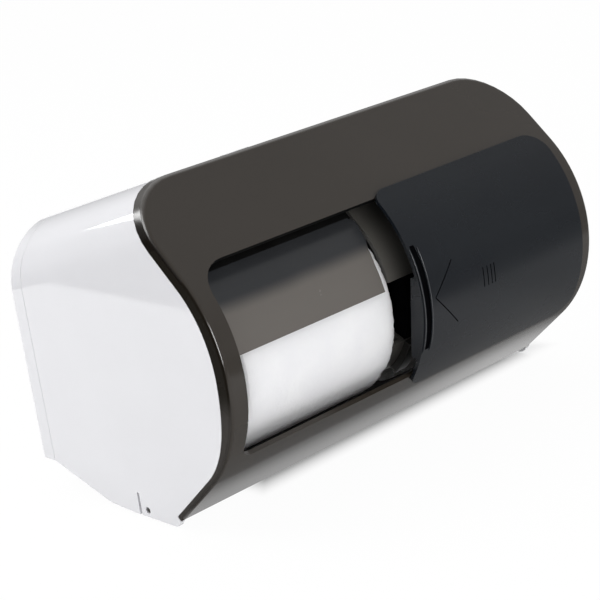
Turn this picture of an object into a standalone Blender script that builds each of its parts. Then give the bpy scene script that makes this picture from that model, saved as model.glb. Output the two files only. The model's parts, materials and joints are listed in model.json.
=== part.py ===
"""Double roll toilet paper dispenser, modelled as an assembly of separate pieces.

The wall is the plane y = 0 and the dispenser stands out from it towards -Y, with +X to the right and +Z up.
The origin is the middle of the back plate's wall face. Inside the script a place is given as x, forward
(the distance from the wall) and height (over the back plate's lower edge), and world() turns it into the
frame.

The main form is one curve in the side view: a straight upper slope, a round nose and a straight strip that
turns back under. A place on it is a station, the length along the curve from the nose's level point, and a
depth, the distance inwards from the front cover's outer surface.
"""

import math

import bmesh
import bpy
from mathutils import Matrix, Vector

# Overall form
WIDTH = 0.305
PLATE_HEIGHT = 0.142
SHOULDER_RADIUS = 0.037
NOSE_RADIUS = 0.079
NOSE_FORWARD = 0.107
NOSE_HEIGHT = 0.0753
UPPER_ANGLE = math.radians(45.6)
LOWER_ANGLE = math.radians(49.0)
UPPER_SLOPE_LENGTH = 0.0625
LOWER_STRIP_LENGTH = 0.0434

# Clearances and cutting allowance
GAP = 0.0003
SLIDE_GAP = 0.0004
OVERRUN = 0.004

# Back plate
PLATE_THICKNESS = 0.0026
PLATE_DEPTH = 0.0105
PLATE_RIM_WALL = 0.0028
PLATE_RIB_DEPTH = 0.004
PLATE_RIB_WIDTH = 0.002
PLATE_RIB_LOW = 0.046
PLATE_RIB_FROM_TOP = 0.044
KEYHOLE_FROM_SIDE = 0.0475
KEYHOLE_LOW = 0.028
KEYHOLE_FROM_TOP = 0.036
KEYHOLE_HEAD_RADIUS = 0.0048
KEYHOLE_NECK_RADIUS = 0.0024
KEYHOLE_RISE = 0.0085

# Housing
HOUSING_WALL = 0.0028
SKIRT_KNEE_FORWARD = 0.062
SKIRT_KNEE_RISE = 0.0012
SKIRT_LEVEL_FORWARD = 0.084
SKIRT_UNDER_TIP = 0.0042
SKIRT_BEHIND_TIP = 0.0032
SKIRT_CORNER_RADIUS = 0.005
SKIRT_KNEE_RADIUS = 0.02
SLIT_FORWARD = 0.0885
SLIT_WIDTH = 0.002
SLIT_END_RADIUS = 0.0009
SLIT_TOP_DROP = 0.0033

# Front cover
COVER_WALL = 0.0028
RIM_DEPTH_UPPER = 0.0078
RIM_DEPTH_NOSE = 0.0089
RIM_DEPTH_LOWER = 0.0033
COVER_TIP_RADIUS = 0.0014
WINDOW_SIDE_MARGIN = 0.012
WINDOW_TOP_RUN = 0.0045
WINDOW_BOTTOM_ANGLE = math.radians(35.5)
WINDOW_TOP_CORNER = 0.018
WINDOW_BOTTOM_CORNER = 0.009

# Cover hinge
HINGE_FORWARD = 0.0966
HINGE_OVER_EDGE = 0.0042
HINGE_PIN_RADIUS = 0.0018
HINGE_PIN_HEAD_RADIUS = 0.003
HINGE_PIN_HEAD_THICKNESS = 0.0014
HINGE_PIN_SETBACK = 0.0006
ARM_THICKNESS = 0.004
ARM_ROOT_LOW = 0.004
ARM_ROOT_HIGH = 0.038
ARM_KNEE_FORWARD = 0.03
ARM_KNEE_HEIGHT = 0.02
ARM_UNDER_FORWARD = 0.062
ARM_UNDER_LIFT = 0.0005
ARM_EYE_RADIUS = 0.0039
ARM_EYE_START = math.radians(70.0)
ARM_FOOT_WIDTH = 0.015
ARM_FOOT_THICKNESS = 0.0025
ARM_BEND_RADIUS = 0.014

# Sliding door
DOOR_THICKNESS = 0.0022
DOOR_LEFT = -0.007
DOOR_SIDE_MARGIN = 0.0118
DOOR_TOP_RUN = 0.0075
DOOR_BOTTOM_ANGLE = math.radians(40.5)
DOOR_INNER_CORNER = 0.009
DOOR_OUTER_CORNER = 0.015
DOOR_END_STOP = 0.0025
GRIP_HIGH_ANGLE = math.radians(27.0)
GRIP_LOW_ANGLE = math.radians(24.0)
GRIP_RIB_WIDTH = 0.0011
GRIP_RIB_PROUD = 0.0009
GRIP_RIB_PITCH = 0.0056
LIP_DEPTH = 0.0077
LIP_TURN = math.radians(8.2)
LIP_ANGLE = math.radians(21.0)
LIP_THICKNESS = 0.002
RUNNER_RIB_WIDTH = 0.0018
SLIDER_HOOK = 0.0045
SLIDER_THICKNESS = 0.0018

# Rolls
ROLL_BEFORE_NOSE = 0.002
ROLL_UNDER_NOSE = 0.0053
ROLL_NOSE_CLEARANCE = 0.018
ROLL_BAND_CLEARANCE = 0.0005
ROLL_END_ROOM = 0.0239
CORE_OUTER_RADIUS = 0.022
CORE_WALL = 0.0015

# Spindles
SPINDLE_WALL = 0.0024
SPINDLE_FLANGE_RADIUS = 0.025
SPINDLE_FLANGE_THICKNESS = 0.0025
SPINDLE_COLLAR_RADIUS = 0.0232
SPINDLE_PAST_ROLL = 0.0015
SPINDLE_CAP_LIP = 0.0012
SPINDLE_CAP_THICKNESS = 0.0032
SPINDLE_CAP_PLUG = 0.004

# Roll guards
GUARD_DEPTH = 0.0132
GUARD_THICKNESS = 0.0016
GUARD_INNER_EDGE = 0.016
GUARD_SIDE_MARGIN = 0.0205
GUARD_LOW_ANGLE = math.radians(8.4)
GUARD_TOP_RUN = 0.009
GUARD_CORNER_RADIUS = 0.008
GUARD_NECK_STEP = 0.02
GUARD_NECK_TOP_RUN = 0.023
GUARD_NECK_CORNER_RADIUS = 0.004
GUARD_BOSS_RUN = 0.0165
GUARD_BOSS_RADIUS = 0.0038
GUARD_BOSS_INSET = 0.014

# Centre partition
PARTITION_THICKNESS = 0.003
BAND_DEPTH = 0.017
BAND_THICKNESS = 0.0024
BAND_WIDTH = 0.022
BAND_TOP_RUN = 0.011
NOTCH_TOP_ANGLE = math.radians(11.0)
NOTCH_BOTTOM_ANGLE = math.radians(26.0)
NOTCH_DEPTH = 0.015
BAND_LOW_ANGLE = math.radians(47.5)
PARTITION_ROOT_LOW = 0.012
PARTITION_ROOT_FROM_TOP = 0.03
PARTITION_FOOT_WIDTH = 0.026
PARTITION_FOOT_THICKNESS = 0.0025
PARTITION_CROWN_FORWARD = 0.085
PARTITION_CROWN_DROP = 0.0322
PARTITION_BEND_RADIUS = 0.03
PARTITION_HEEL_FORWARD = 0.09
PARTITION_HEEL_HEIGHT = 0.001

# Lock
LOCK_FORWARD = 0.037
LOCK_FLANGE_RADIUS = 0.0095
LOCK_FLANGE_PROUD = 0.0008
LOCK_BODY_RADIUS = 0.0075
LOCK_BODY_LENGTH = 0.011
LOCK_PLUG_RADIUS = 0.0049
LOCK_STUD_RADIUS = 0.0028
LOCK_STUD_LENGTH = 0.005
LOCK_RING_RADIUS = 0.0108
LOCK_RING_THICKNESS = 0.003
KEYWAY_LENGTH = 0.0056
KEYWAY_WIDTH = 0.0013
KEYWAY_DEPTH = 0.004
CAM_THICKNESS = 0.002
CAM_HUB_RADIUS = 0.0058
CAM_ARM_LENGTH = 0.025
CAM_ARM_WIDTH = 0.006
CAM_HOOK_WIDTH = 0.0035
CAM_HOOK_REACH = 0.011
CAM_NUT_RADIUS = 0.0052
CAM_NUT_THICKNESS = 0.0022
CATCH_CLEARANCE = 0.0006
CATCH_POST_DEPTH = 0.003
CATCH_POST_OVER_HOOK = 0.0059
CATCH_SHELF_UNDER_HOOK = 0.0096
CATCH_SHELF_THICKNESS = 0.0022
CATCH_FOOT_UNDER_SHELF = 0.008
CATCH_FOOT_OVER_SHELF = 0.004
CATCH_FOOT_THICKNESS = 0.0022
CATCH_SIDE_GAP = 0.0015

# Screws
SCREW_SHANK_RADIUS = 0.0015
SCREW_HEAD_RADIUS = 0.0032
SCREW_HEAD_HEIGHT = 0.0018

# Fineness of round shapes
SHARP_ANGLE = math.radians(30.0)
ON_LINE = 0.000001
ARC_STEPS = 30
CORNER_STEPS = 7
ROUND_STEPS = 36
ROLL_STEPS = 84

# Values that follow from the sizes above
HALF_WIDTH = WIDTH / 2
WALL_CENTRE = PLATE_HEIGHT / 2
PLATE_RIB_HEIGHTS = (PLATE_RIB_LOW, PLATE_HEIGHT - PLATE_RIB_FROM_TOP)
KEYHOLE_OUT = HALF_WIDTH - KEYHOLE_FROM_SIDE
KEYHOLE_HEIGHTS = (KEYHOLE_LOW, PLATE_HEIGHT - KEYHOLE_FROM_TOP)
NOSE_UP = NOSE_RADIUS * UPPER_ANGLE
NOSE_DOWN = NOSE_RADIUS * LOWER_ANGLE
TOP_STATION = NOSE_UP + UPPER_SLOPE_LENGTH
TIP_STATION = -NOSE_DOWN - LOWER_STRIP_LENGTH
ARC_STEP = (NOSE_UP + NOSE_DOWN) / ARC_STEPS
WINDOW_TOP = NOSE_UP + WINDOW_TOP_RUN
WINDOW_BOTTOM = -NOSE_RADIUS * WINDOW_BOTTOM_ANGLE
WINDOW_EDGE = HALF_WIDTH - WINDOW_SIDE_MARGIN
DOOR_RIGHT = HALF_WIDTH - DOOR_SIDE_MARGIN
DOOR_TRAVEL = WINDOW_EDGE + DOOR_LEFT - DOOR_END_STOP
GUARD_OUTER_EDGE = HALF_WIDTH - GUARD_SIDE_MARGIN
GUARD_NECK_INNER = GUARD_INNER_EDGE + GUARD_NECK_STEP
GUARD_NECK_OUTER = GUARD_OUTER_EDGE - GUARD_NECK_STEP
HOUSING_BACK = PLATE_DEPTH + GAP
WALL_INSIDE = HALF_WIDTH - HOUSING_WALL
ARM_OUTSIDE = WALL_INSIDE - GAP
ROLL_FORWARD = NOSE_FORWARD + ROLL_BEFORE_NOSE
ROLL_HEIGHT = NOSE_HEIGHT - ROLL_UNDER_NOSE
ROLL_RADIUS = NOSE_RADIUS - ROLL_NOSE_CLEARANCE
ROLL_INNER_END = BAND_WIDTH / 2 + ROLL_BAND_CLEARANCE
ROLL_OUTER_END = WALL_INSIDE - ROLL_END_ROOM
CORE_INNER_RADIUS = CORE_OUTER_RADIUS - CORE_WALL
SPINDLE_RADIUS = CORE_INNER_RADIUS - GAP
PLATE_FACE = PLATE_THICKNESS + GAP


def world(x, forward, height):
    """A point of the frame from its x, its distance from the wall and its height over the plate's edge."""
    return Vector((x, -forward, height - WALL_CENTRE))


def on_curve(station, depth):
    """Forward and height of a place on the cover's side curve."""
    angle = max(-LOWER_ANGLE, min(UPPER_ANGLE, station / NOSE_RADIUS))
    run = station - angle * NOSE_RADIUS
    radius = NOSE_RADIUS - depth
    forward = NOSE_FORWARD + radius * math.cos(angle) - run * math.sin(angle)
    height = NOSE_HEIGHT + radius * math.sin(angle) + run * math.cos(angle)
    return forward, height


TOP_EDGE_FORWARD, TOP_EDGE_HEIGHT = on_curve(TOP_STATION, 0.0)
TIP_FORWARD, TIP_HEIGHT = on_curve(TIP_STATION, 0.0)
RISE = (TOP_EDGE_HEIGHT - PLATE_HEIGHT) / TOP_EDGE_FORWARD
NOSE_FRONT = NOSE_FORWARD + NOSE_RADIUS
SKIRT_DROP = SKIRT_UNDER_TIP - TIP_HEIGHT
SKIRT_KNEE_DROP = SKIRT_DROP - SKIRT_KNEE_RISE
SKIRT_FRONT_FORWARD = TIP_FORWARD - SKIRT_BEHIND_TIP
HINGE_DROP = SKIRT_DROP - HINGE_OVER_EDGE
ARM_UNDER_DROP = HINGE_DROP - ARM_UNDER_LIFT
PARTITION_ROOT_HIGH = PLATE_HEIGHT - PARTITION_ROOT_FROM_TOP
PARTITION_CROWN_HEIGHT = PLATE_HEIGHT + RISE * PARTITION_CROWN_FORWARD - PARTITION_CROWN_DROP


def stations_between(low, high):
    """Stations from low to high: the ends, the curve's two tangent places and even steps on the nose."""
    places = [low, high] + [-NOSE_DOWN + ARC_STEP * step for step in range(ARC_STEPS + 1)]
    inside = sorted(place for place in places if low <= place <= high)
    kept = [inside[0]]
    for place in inside[1:]:
        if place - kept[-1] > GAP:
            kept.append(place)
    kept[-1] = high
    return kept


def even_stations(low, high, count):
    """Stations in even steps from low to high."""
    return [low + (high - low) * step / count for step in range(count + 1)]


def sheet_lines(low, high):
    """The stations at which a bent sheet from low to high is creased."""
    return even_stations(low, high, max(1, round((high - low) / ARC_STEP)))


def rim_depth(station):
    """Depth of the cover's rim: thin at the tip, deepest on the nose, and a little less up the slope."""
    if station < 0.0:
        share = math.sin(min(1.0, -station / NOSE_DOWN) * math.pi / 2) ** 2
        return RIM_DEPTH_NOSE + (RIM_DEPTH_LOWER - RIM_DEPTH_NOSE) * share
    share = math.sin(min(1.0, station / NOSE_UP) * math.pi / 2) ** 2
    return RIM_DEPTH_NOSE + (RIM_DEPTH_UPPER - RIM_DEPTH_NOSE) * share


def rounded(points):
    """An outline from corners given as (a, b, radius), with an arc at each corner that has a radius."""
    outline = []
    for index, (a, b, radius) in enumerate(points):
        here = Vector((a, b))
        if radius == 0.0:
            outline.append((a, b))
            continue
        before = Vector(points[index - 1][:2]) - here
        after = Vector(points[(index + 1) % len(points)][:2]) - here
        opening = before.angle(after)
        reach = radius / math.tan(opening / 2)
        start = here + before.normalized() * reach
        towards = (before.normalized() + after.normalized()).normalized()
        centre = here + towards * radius / math.sin(opening / 2)
        sweep = (start - centre).angle_signed(here + after.normalized() * reach - centre)
        for step in range(CORNER_STEPS + 1):
            turn = Matrix.Rotation(-sweep * step / CORNER_STEPS, 2)
            outline.append(tuple(centre + turn @ (start - centre)))
    return outline


def material(name, colour, roughness, metallic=0.0):
    """A Principled material."""
    made = bpy.data.materials.new(name)
    made.use_nodes = True
    shader = made.node_tree.nodes["Principled BSDF"]
    shader.inputs["Base Color"].default_value = (*colour, 1.0)
    shader.inputs["Roughness"].default_value = roughness
    shader.inputs["Metallic"].default_value = metallic
    return made


def make_object(name, mesh_data):
    """An object from a bmesh, with its faces turned outwards."""
    bmesh.ops.recalc_face_normals(mesh_data, faces=mesh_data.faces)
    mesh = bpy.data.meshes.new(name)
    mesh_data.to_mesh(mesh)
    mesh_data.free()
    made = bpy.data.objects.new(name, mesh)
    bpy.context.scene.collection.objects.link(made)
    return made


def dress(piece, finish):
    """Gives a finished piece its material and smooth shading."""
    piece.data.materials.clear()
    piece.data.materials.append(finish)
    piece.data.shade_smooth()
    piece.data.set_sharp_from_angle(angle=SHARP_ANGLE)


def from_rings(name, rings):
    """A closed solid through rings of world points, each with as many points, capped at both ends."""
    made = bmesh.new()
    rows = [[made.verts.new(point) for point in ring] for ring in rings]
    for low, high in zip(rows, rows[1:]):
        for index in range(len(low)):
            after = (index + 1) % len(low)
            made.faces.new((low[index], low[after], high[after], high[index]))
    made.faces.new(rows[0])
    made.faces.new(rows[-1])
    return make_object(name, made)


def prism(name, outline, x_from, x_to):
    """A side-view outline of (forward, height) points, extruded along X."""
    ends = (x_from, x_to)
    return from_rings(name, [[world(x, forward, height) for forward, height in outline] for x in ends])


def box(name, x_range, forward_range, height_range):
    """A box from its three ranges."""
    (f0, f1), (h0, h1) = forward_range, height_range
    return prism(name, [(f0, h0), (f1, h0), (f1, h1), (f0, h1)], *x_range)


def wrapped(name, stations, section):
    """A solid that follows the cover's curve: section(station) gives its (x, depth) corners there."""
    rings = []
    for station in stations:
        ring = []
        for x, depth in section(station):
            forward, height = on_curve(station, depth)
            ring.append(world(x, forward, height))
        rings.append(ring)
    return from_rings(name, rings)


def bent_sheet(name, outline, outer, inner):
    """A sheet bent onto the cover's curve: outline is its flat shape as (x, station) points."""
    flat = bmesh.new()
    flat.faces.new([flat.verts.new((x, station, 0.0)) for x, station in outline])
    low = min(station for x, station in outline)
    high = max(station for x, station in outline)
    lines = [station for x, station in outline] + sheet_lines(low, high)
    for line in sorted(lines):
        everything = flat.verts[:] + flat.edges[:] + flat.faces[:]
        bmesh.ops.bisect_plane(flat, geom=everything, dist=ON_LINE, plane_co=(0.0, line, 0.0),
                               plane_no=(0.0, 1.0, 0.0))
    made = bmesh.new()
    skins = []
    for depth in (outer, inner):
        skins.append({point: made.verts.new(world(point.co.x, *on_curve(point.co.y, depth)))
                      for point in flat.verts})
    for face in flat.faces:
        for skin in skins:
            made.faces.new([skin[point] for point in face.verts])
    for edge in flat.edges:
        if edge.is_boundary:
            near, far = edge.verts
            made.faces.new((skins[0][near], skins[0][far], skins[1][far], skins[1][near]))
    flat.free()
    return make_object(name, made)


def form(name, inset, rear, front, floor):
    """The housing's solid form: straight sides, rounded shoulders and a top that rises to the front."""
    side = HALF_WIDTH - inset
    radius = SHOULDER_RADIUS - inset
    top = PLATE_HEIGHT - inset * math.hypot(1.0, RISE)
    crown = []
    for step in range(ROUND_STEPS // 4 + 1):
        angle = math.pi / 2 * step / (ROUND_STEPS // 4)
        crown.append((side - radius + radius * math.cos(angle), top - radius + radius * math.sin(angle)))
    crown += [(-x, height) for x, height in reversed(crown)]
    rings = []
    for forward in (rear, front):
        ring = [world(side, forward, floor)]
        ring += [world(x, forward, height + RISE * forward) for x, height in crown]
        ring.append(world(-side, forward, floor))
        rings.append(ring)
    return from_rings(name, rings)


def turned(name, profile, origin, axis, steps=ROUND_STEPS):
    """A solid of revolution from (radius, along) points round an axis, where radius 0 lies on the axis."""
    turn = Vector((0.0, 0.0, 1.0)).rotation_difference(Vector(axis)).to_matrix()
    made = bmesh.new()
    rings = []
    for radius, along in profile:
        if radius == 0.0:
            rings.append([made.verts.new(origin + turn @ Vector((0.0, 0.0, along)))])
            continue
        ring = []
        for step in range(steps):
            angle = 2 * math.pi * step / steps
            spoke = Vector((radius * math.cos(angle), radius * math.sin(angle), along))
            ring.append(made.verts.new(origin + turn @ spoke))
        rings.append(ring)
    open_ended = len(rings[0]) == 1
    pairs = list(zip(rings, rings[1:]))
    if not open_ended:
        pairs.append((rings[-1], rings[0]))
    for low, high in pairs:
        for step in range(steps):
            after = (step + 1) % steps
            if len(low) == 1:
                made.faces.new((low[0], high[after], high[step]))
            elif len(high) == 1:
                made.faces.new((low[step], low[after], high[0]))
            else:
                made.faces.new((low[step], low[after], high[after], high[step]))
    return make_object(name, made)


def tube_profile(inner, outer, start, end):
    """The outline of a plain ring or tube."""
    return [(inner, start), (outer, start), (outer, end), (inner, end)]


def rod_profile(radius, start, end):
    """The outline of a plain rod."""
    return [(0.0, start), (radius, start), (radius, end), (0.0, end)]


def combine(piece, tool, operation):
    """Cuts, joins or intersects a piece with a tool, and removes the tool."""
    modifier = piece.modifiers.new("shape", "BOOLEAN")
    modifier.operation = operation
    modifier.solver = "EXACT"
    modifier.object = tool
    graph = bpy.context.evaluated_depsgraph_get()
    shaped = bpy.data.meshes.new_from_object(piece.evaluated_get(graph))
    piece.modifiers.clear()
    piece.data = shaped
    bpy.data.objects.remove(tool)
    return piece


def cut(piece, tool):
    """Takes a tool out of a piece."""
    return combine(piece, tool, "DIFFERENCE")


def join(piece, tool):
    """Adds a tool to a piece."""
    return combine(piece, tool, "UNION")


def keep(piece, tool):
    """Keeps what a piece shares with a tool."""
    return combine(piece, tool, "INTERSECT")


def screw(name, seat, direction, length, finish):
    """A pan head screw: seat is under its head, and direction points from the head to the tip."""
    shank, head, rise = SCREW_SHANK_RADIUS, SCREW_HEAD_RADIUS, SCREW_HEAD_HEIGHT
    profile = [(0.0, -rise), (head - rise / 2, -rise), (head, -rise / 2), (head, 0.0), (shank, 0.0),
               (shank, length - shank), (0.0, length)]
    piece = turned(name, profile, seat, direction, ROUND_STEPS // 2)
    dress(piece, finish)
    return piece


def back_plate(finish):
    """The white plate on the wall: a shallow tray with keyholes, ribs and holes for the screws."""
    plate = form("back_plate", 0.0, 0.0, PLATE_DEPTH, 0.0)
    cut(plate, form("tray", PLATE_RIM_WALL, PLATE_THICKNESS, PLATE_DEPTH + OVERRUN, PLATE_RIM_WALL))
    reach = HALF_WIDTH - ARM_FOOT_WIDTH - PLATE_RIM_WALL - OVERRUN
    clear = PARTITION_FOOT_WIDTH / 2 + OVERRUN
    for height in PLATE_RIB_HEIGHTS:
        for near, far in ((-reach, -clear), (clear, reach)):
            rib = box("rib", (near, far), (PLATE_THICKNESS / 2, PLATE_THICKNESS + PLATE_RIB_DEPTH),
                      (height, height + PLATE_RIB_WIDTH))
            join(plate, rib)
    for side in (-1, 1):
        for height in KEYHOLE_HEIGHTS:
            centre = world(side * KEYHOLE_OUT, -OVERRUN, height)
            through = PLATE_THICKNESS + 2 * OVERRUN
            cut(plate, turned("head", rod_profile(KEYHOLE_HEAD_RADIUS, 0.0, through), centre, (0, -1, 0)))
            middle = side * KEYHOLE_OUT
            neck = box("neck", (middle - KEYHOLE_NECK_RADIUS, middle + KEYHOLE_NECK_RADIUS),
                       (-OVERRUN, PLATE_THICKNESS + OVERRUN), (height, height + KEYHOLE_RISE))
            cut(plate, neck)
    for seat in plate_screw_places():
        hole = rod_profile(SCREW_SHANK_RADIUS + GAP, -OVERRUN, PLATE_THICKNESS + OVERRUN)
        cut(plate, turned("screw_hole", hole, world(seat[0], 0.0, seat[1]), (0, -1, 0), ROUND_STEPS // 2))
    dress(plate, finish)
    return plate


def plate_screw_places():
    """The x and height of each screw that comes from the back of the plate into a foot."""
    arm_x = ARM_OUTSIDE - ARM_FOOT_WIDTH / 2 - ARM_THICKNESS / 2
    arm_height = (ARM_ROOT_LOW + ARM_ROOT_HIGH) / 2
    foot_x = PARTITION_FOOT_WIDTH / 4 + PARTITION_THICKNESS / 4
    margin = 2 * SCREW_HEAD_RADIUS
    return [(-arm_x, arm_height), (arm_x, arm_height),
            (foot_x, PARTITION_ROOT_LOW + margin), (-foot_x, PARTITION_ROOT_HIGH - margin)]


def foot_screws(finish):
    """Screws from inside, through the feet of the arms and the partition, into the back plate."""
    names = ("left_arm_screw", "right_arm_screw", "partition_lower_screw", "partition_upper_screw")
    thickness = (ARM_FOOT_THICKNESS, ARM_FOOT_THICKNESS, PARTITION_FOOT_THICKNESS, PARTITION_FOOT_THICKNESS)
    for name, (x, height), foot in zip(names, plate_screw_places(), thickness):
        seat = world(x, PLATE_FACE + foot + GAP, height)
        screw(name, seat, (0, 1, 0), foot + PLATE_THICKNESS + GAP, finish)


def housing(finish):
    """The white housing: side walls and top, cut at the front to the cover's rim."""
    boundary = []
    for station in stations_between(TIP_STATION - GAP, TOP_STATION + 2 * OVERRUN):
        boundary.append(on_curve(station, rim_depth(station) + GAP))
    lip = on_curve(TIP_STATION - GAP, 0.0)
    ceiling = TOP_EDGE_HEIGHT + OVERRUN
    skirt = rounded([
        (HOUSING_BACK, ceiling, 0.0),
        (HOUSING_BACK, 0.0, 0.0),
        (SKIRT_KNEE_FORWARD, -SKIRT_KNEE_DROP, SKIRT_KNEE_RADIUS),
        (SKIRT_LEVEL_FORWARD, -SKIRT_DROP, 0.0),
        (SKIRT_FRONT_FORWARD, -SKIRT_DROP, SKIRT_CORNER_RADIUS),
        (lip[0], lip[1], 0.0),
    ])
    outline = skirt + boundary + [(boundary[-1][0], ceiling)]
    shell = prism("housing", outline, -HALF_WIDTH - OVERRUN, HALF_WIDTH + OVERRUN)
    floor = -SKIRT_DROP - OVERRUN
    keep(shell, form("outside", 0.0, 0.0, NOSE_FRONT, floor))
    cut(shell, form("inside", HOUSING_WALL, 0.0, NOSE_FRONT + OVERRUN, floor - OVERRUN))
    for side in (-1, 1):
        ends = sorted((side * (WALL_INSIDE - OVERRUN), side * (HALF_WIDTH + OVERRUN)))
        rear, front = SLIT_FORWARD, SLIT_FORWARD + SLIT_WIDTH
        slit = rounded([(rear, floor, 0.0), (front, floor, 0.0), (front, -SLIT_TOP_DROP, SLIT_END_RADIUS),
                        (rear, -SLIT_TOP_DROP, SLIT_END_RADIUS)])
        cut(shell, prism("slit", slit, *ends))
    bore = rod_profile(HINGE_PIN_RADIUS + GAP, -HALF_WIDTH - OVERRUN, HALF_WIDTH + OVERRUN)
    hinge = world(0.0, HINGE_FORWARD, -HINGE_DROP)
    cut(shell, turned("pin_bore", bore, hinge, (1, 0, 0), ROUND_STEPS // 2))
    top_point, normal = lock_frame()
    hole = rod_profile(LOCK_BODY_RADIUS + GAP, -HOUSING_WALL - OVERRUN, OVERRUN)
    cut(shell, turned("lock_hole", hole, top_point, normal))
    dress(shell, finish)
    return shell


def front_cover(finish):
    """The smoke cover: a rolled sheet with an end rim, one wide window and bosses for the guards."""
    stations = stations_between(TIP_STATION, TOP_STATION + OVERRUN)
    outer = [on_curve(station, 0.0) for station in stations]
    inner = [on_curve(station, rim_depth(station)) for station in reversed(stations)]
    outline = [(a, b, 0.0) for a, b in outer + inner]
    outline[0] = (*outer[0], COVER_TIP_RADIUS)
    outline[-1] = (*inner[-1], COVER_TIP_RADIUS)
    reach = HALF_WIDTH + OVERRUN
    sheet = prism("front_cover", rounded(outline), -reach, reach)
    floor = -SKIRT_DROP - OVERRUN
    keep(sheet, form("outside", 0.0, 0.0, NOSE_FRONT + OVERRUN, floor))
    hollow_stations = stations_between(TIP_STATION - OVERRUN, TOP_STATION + OVERRUN)
    hollow = [on_curve(station, COVER_WALL) for station in hollow_stations]
    hollow += [on_curve(station, RIM_DEPTH_NOSE + OVERRUN) for station in reversed(hollow_stations)]
    inside = prism("inside", hollow, -reach, reach)
    keep(inside, form("inside_form", COVER_WALL, 0.0, NOSE_FRONT + OVERRUN, floor - OVERRUN))
    cut(sheet, inside)
    window = rounded([
        (-WINDOW_EDGE, WINDOW_BOTTOM, WINDOW_BOTTOM_CORNER),
        (WINDOW_EDGE, WINDOW_BOTTOM, WINDOW_BOTTOM_CORNER),
        (WINDOW_EDGE, WINDOW_TOP, WINDOW_TOP_CORNER),
        (-WINDOW_EDGE, WINDOW_TOP, WINDOW_TOP_CORNER),
    ])
    cut(sheet, bent_sheet("window", window, -OVERRUN, COVER_WALL + OVERRUN))
    for place in guard_boss_places():
        forward, height = on_curve(NOSE_UP + GUARD_BOSS_RUN, 0.0)
        root = world(place, forward, height)
        boss = rod_profile(GUARD_BOSS_RADIUS, COVER_WALL / 2, GUARD_DEPTH - GAP)
        join(sheet, turned("boss", boss, root, slope_inwards(), ROUND_STEPS // 2))
        pilot = rod_profile(SCREW_SHANK_RADIUS + GAP, COVER_WALL + GAP, GUARD_DEPTH + OVERRUN)
        cut(sheet, turned("pilot", pilot, root, slope_inwards(), ROUND_STEPS // 2))
    dress(sheet, finish)
    return sheet


def slope_inwards():
    """The direction square to the cover's upper slope, pointing into the dispenser."""
    return (0.0, math.cos(UPPER_ANGLE), -math.sin(UPPER_ANGLE))


def guard_boss_places():
    """The x of each boss that a guard is screwed to."""
    inner = GUARD_NECK_INNER + GUARD_BOSS_INSET
    outer = GUARD_NECK_OUTER - GUARD_BOSS_INSET
    return (-outer, -inner, inner, outer)


def roll_guard(name, side, finish):
    """A curved plate over the upper front of a roll, with a neck up to its two bosses."""
    low = NOSE_RADIUS * GUARD_LOW_ANGLE
    top = NOSE_UP + GUARD_TOP_RUN
    neck_top = NOSE_UP + GUARD_NECK_TOP_RUN
    outline = rounded([
        (side * GUARD_INNER_EDGE, low, 0.0),
        (side * GUARD_OUTER_EDGE, low, 0.0),
        (side * GUARD_OUTER_EDGE, top, GUARD_CORNER_RADIUS),
        (side * GUARD_NECK_OUTER, top, GUARD_NECK_CORNER_RADIUS),
        (side * GUARD_NECK_OUTER, neck_top, GUARD_NECK_CORNER_RADIUS),
        (side * GUARD_NECK_INNER, neck_top, GUARD_NECK_CORNER_RADIUS),
        (side * GUARD_NECK_INNER, top, GUARD_NECK_CORNER_RADIUS),
        (side * GUARD_INNER_EDGE, top, GUARD_CORNER_RADIUS),
    ])
    inner_face = GUARD_DEPTH + GUARD_THICKNESS
    plate = bent_sheet(name, outline, GUARD_DEPTH, inner_face)
    forward, height = on_curve(NOSE_UP + GUARD_BOSS_RUN, 0.0)
    for place in guard_boss_places():
        if place * side > 0.0:
            hole = rod_profile(SCREW_SHANK_RADIUS + GAP, GUARD_DEPTH - OVERRUN, inner_face + OVERRUN)
            root = world(place, forward, height)
            cut(plate, turned("hole", hole, root, slope_inwards(), ROUND_STEPS // 2))
    dress(plate, finish)
    return plate


def guard_screws(finish):
    """A screw from inside through each guard neck into its boss."""
    names = ("left_guard_outer_screw", "left_guard_inner_screw",
             "right_guard_inner_screw", "right_guard_outer_screw")
    outwards = -Vector(slope_inwards())
    forward, height = on_curve(NOSE_UP + GUARD_BOSS_RUN, 0.0)
    screws = []
    for name, place in zip(names, guard_boss_places()):
        seat = world(place, forward, height) - outwards * (GUARD_DEPTH + GUARD_THICKNESS + GAP)
        screws.append(screw(name, seat, outwards, GUARD_DEPTH - COVER_WALL, finish))
    return screws


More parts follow.
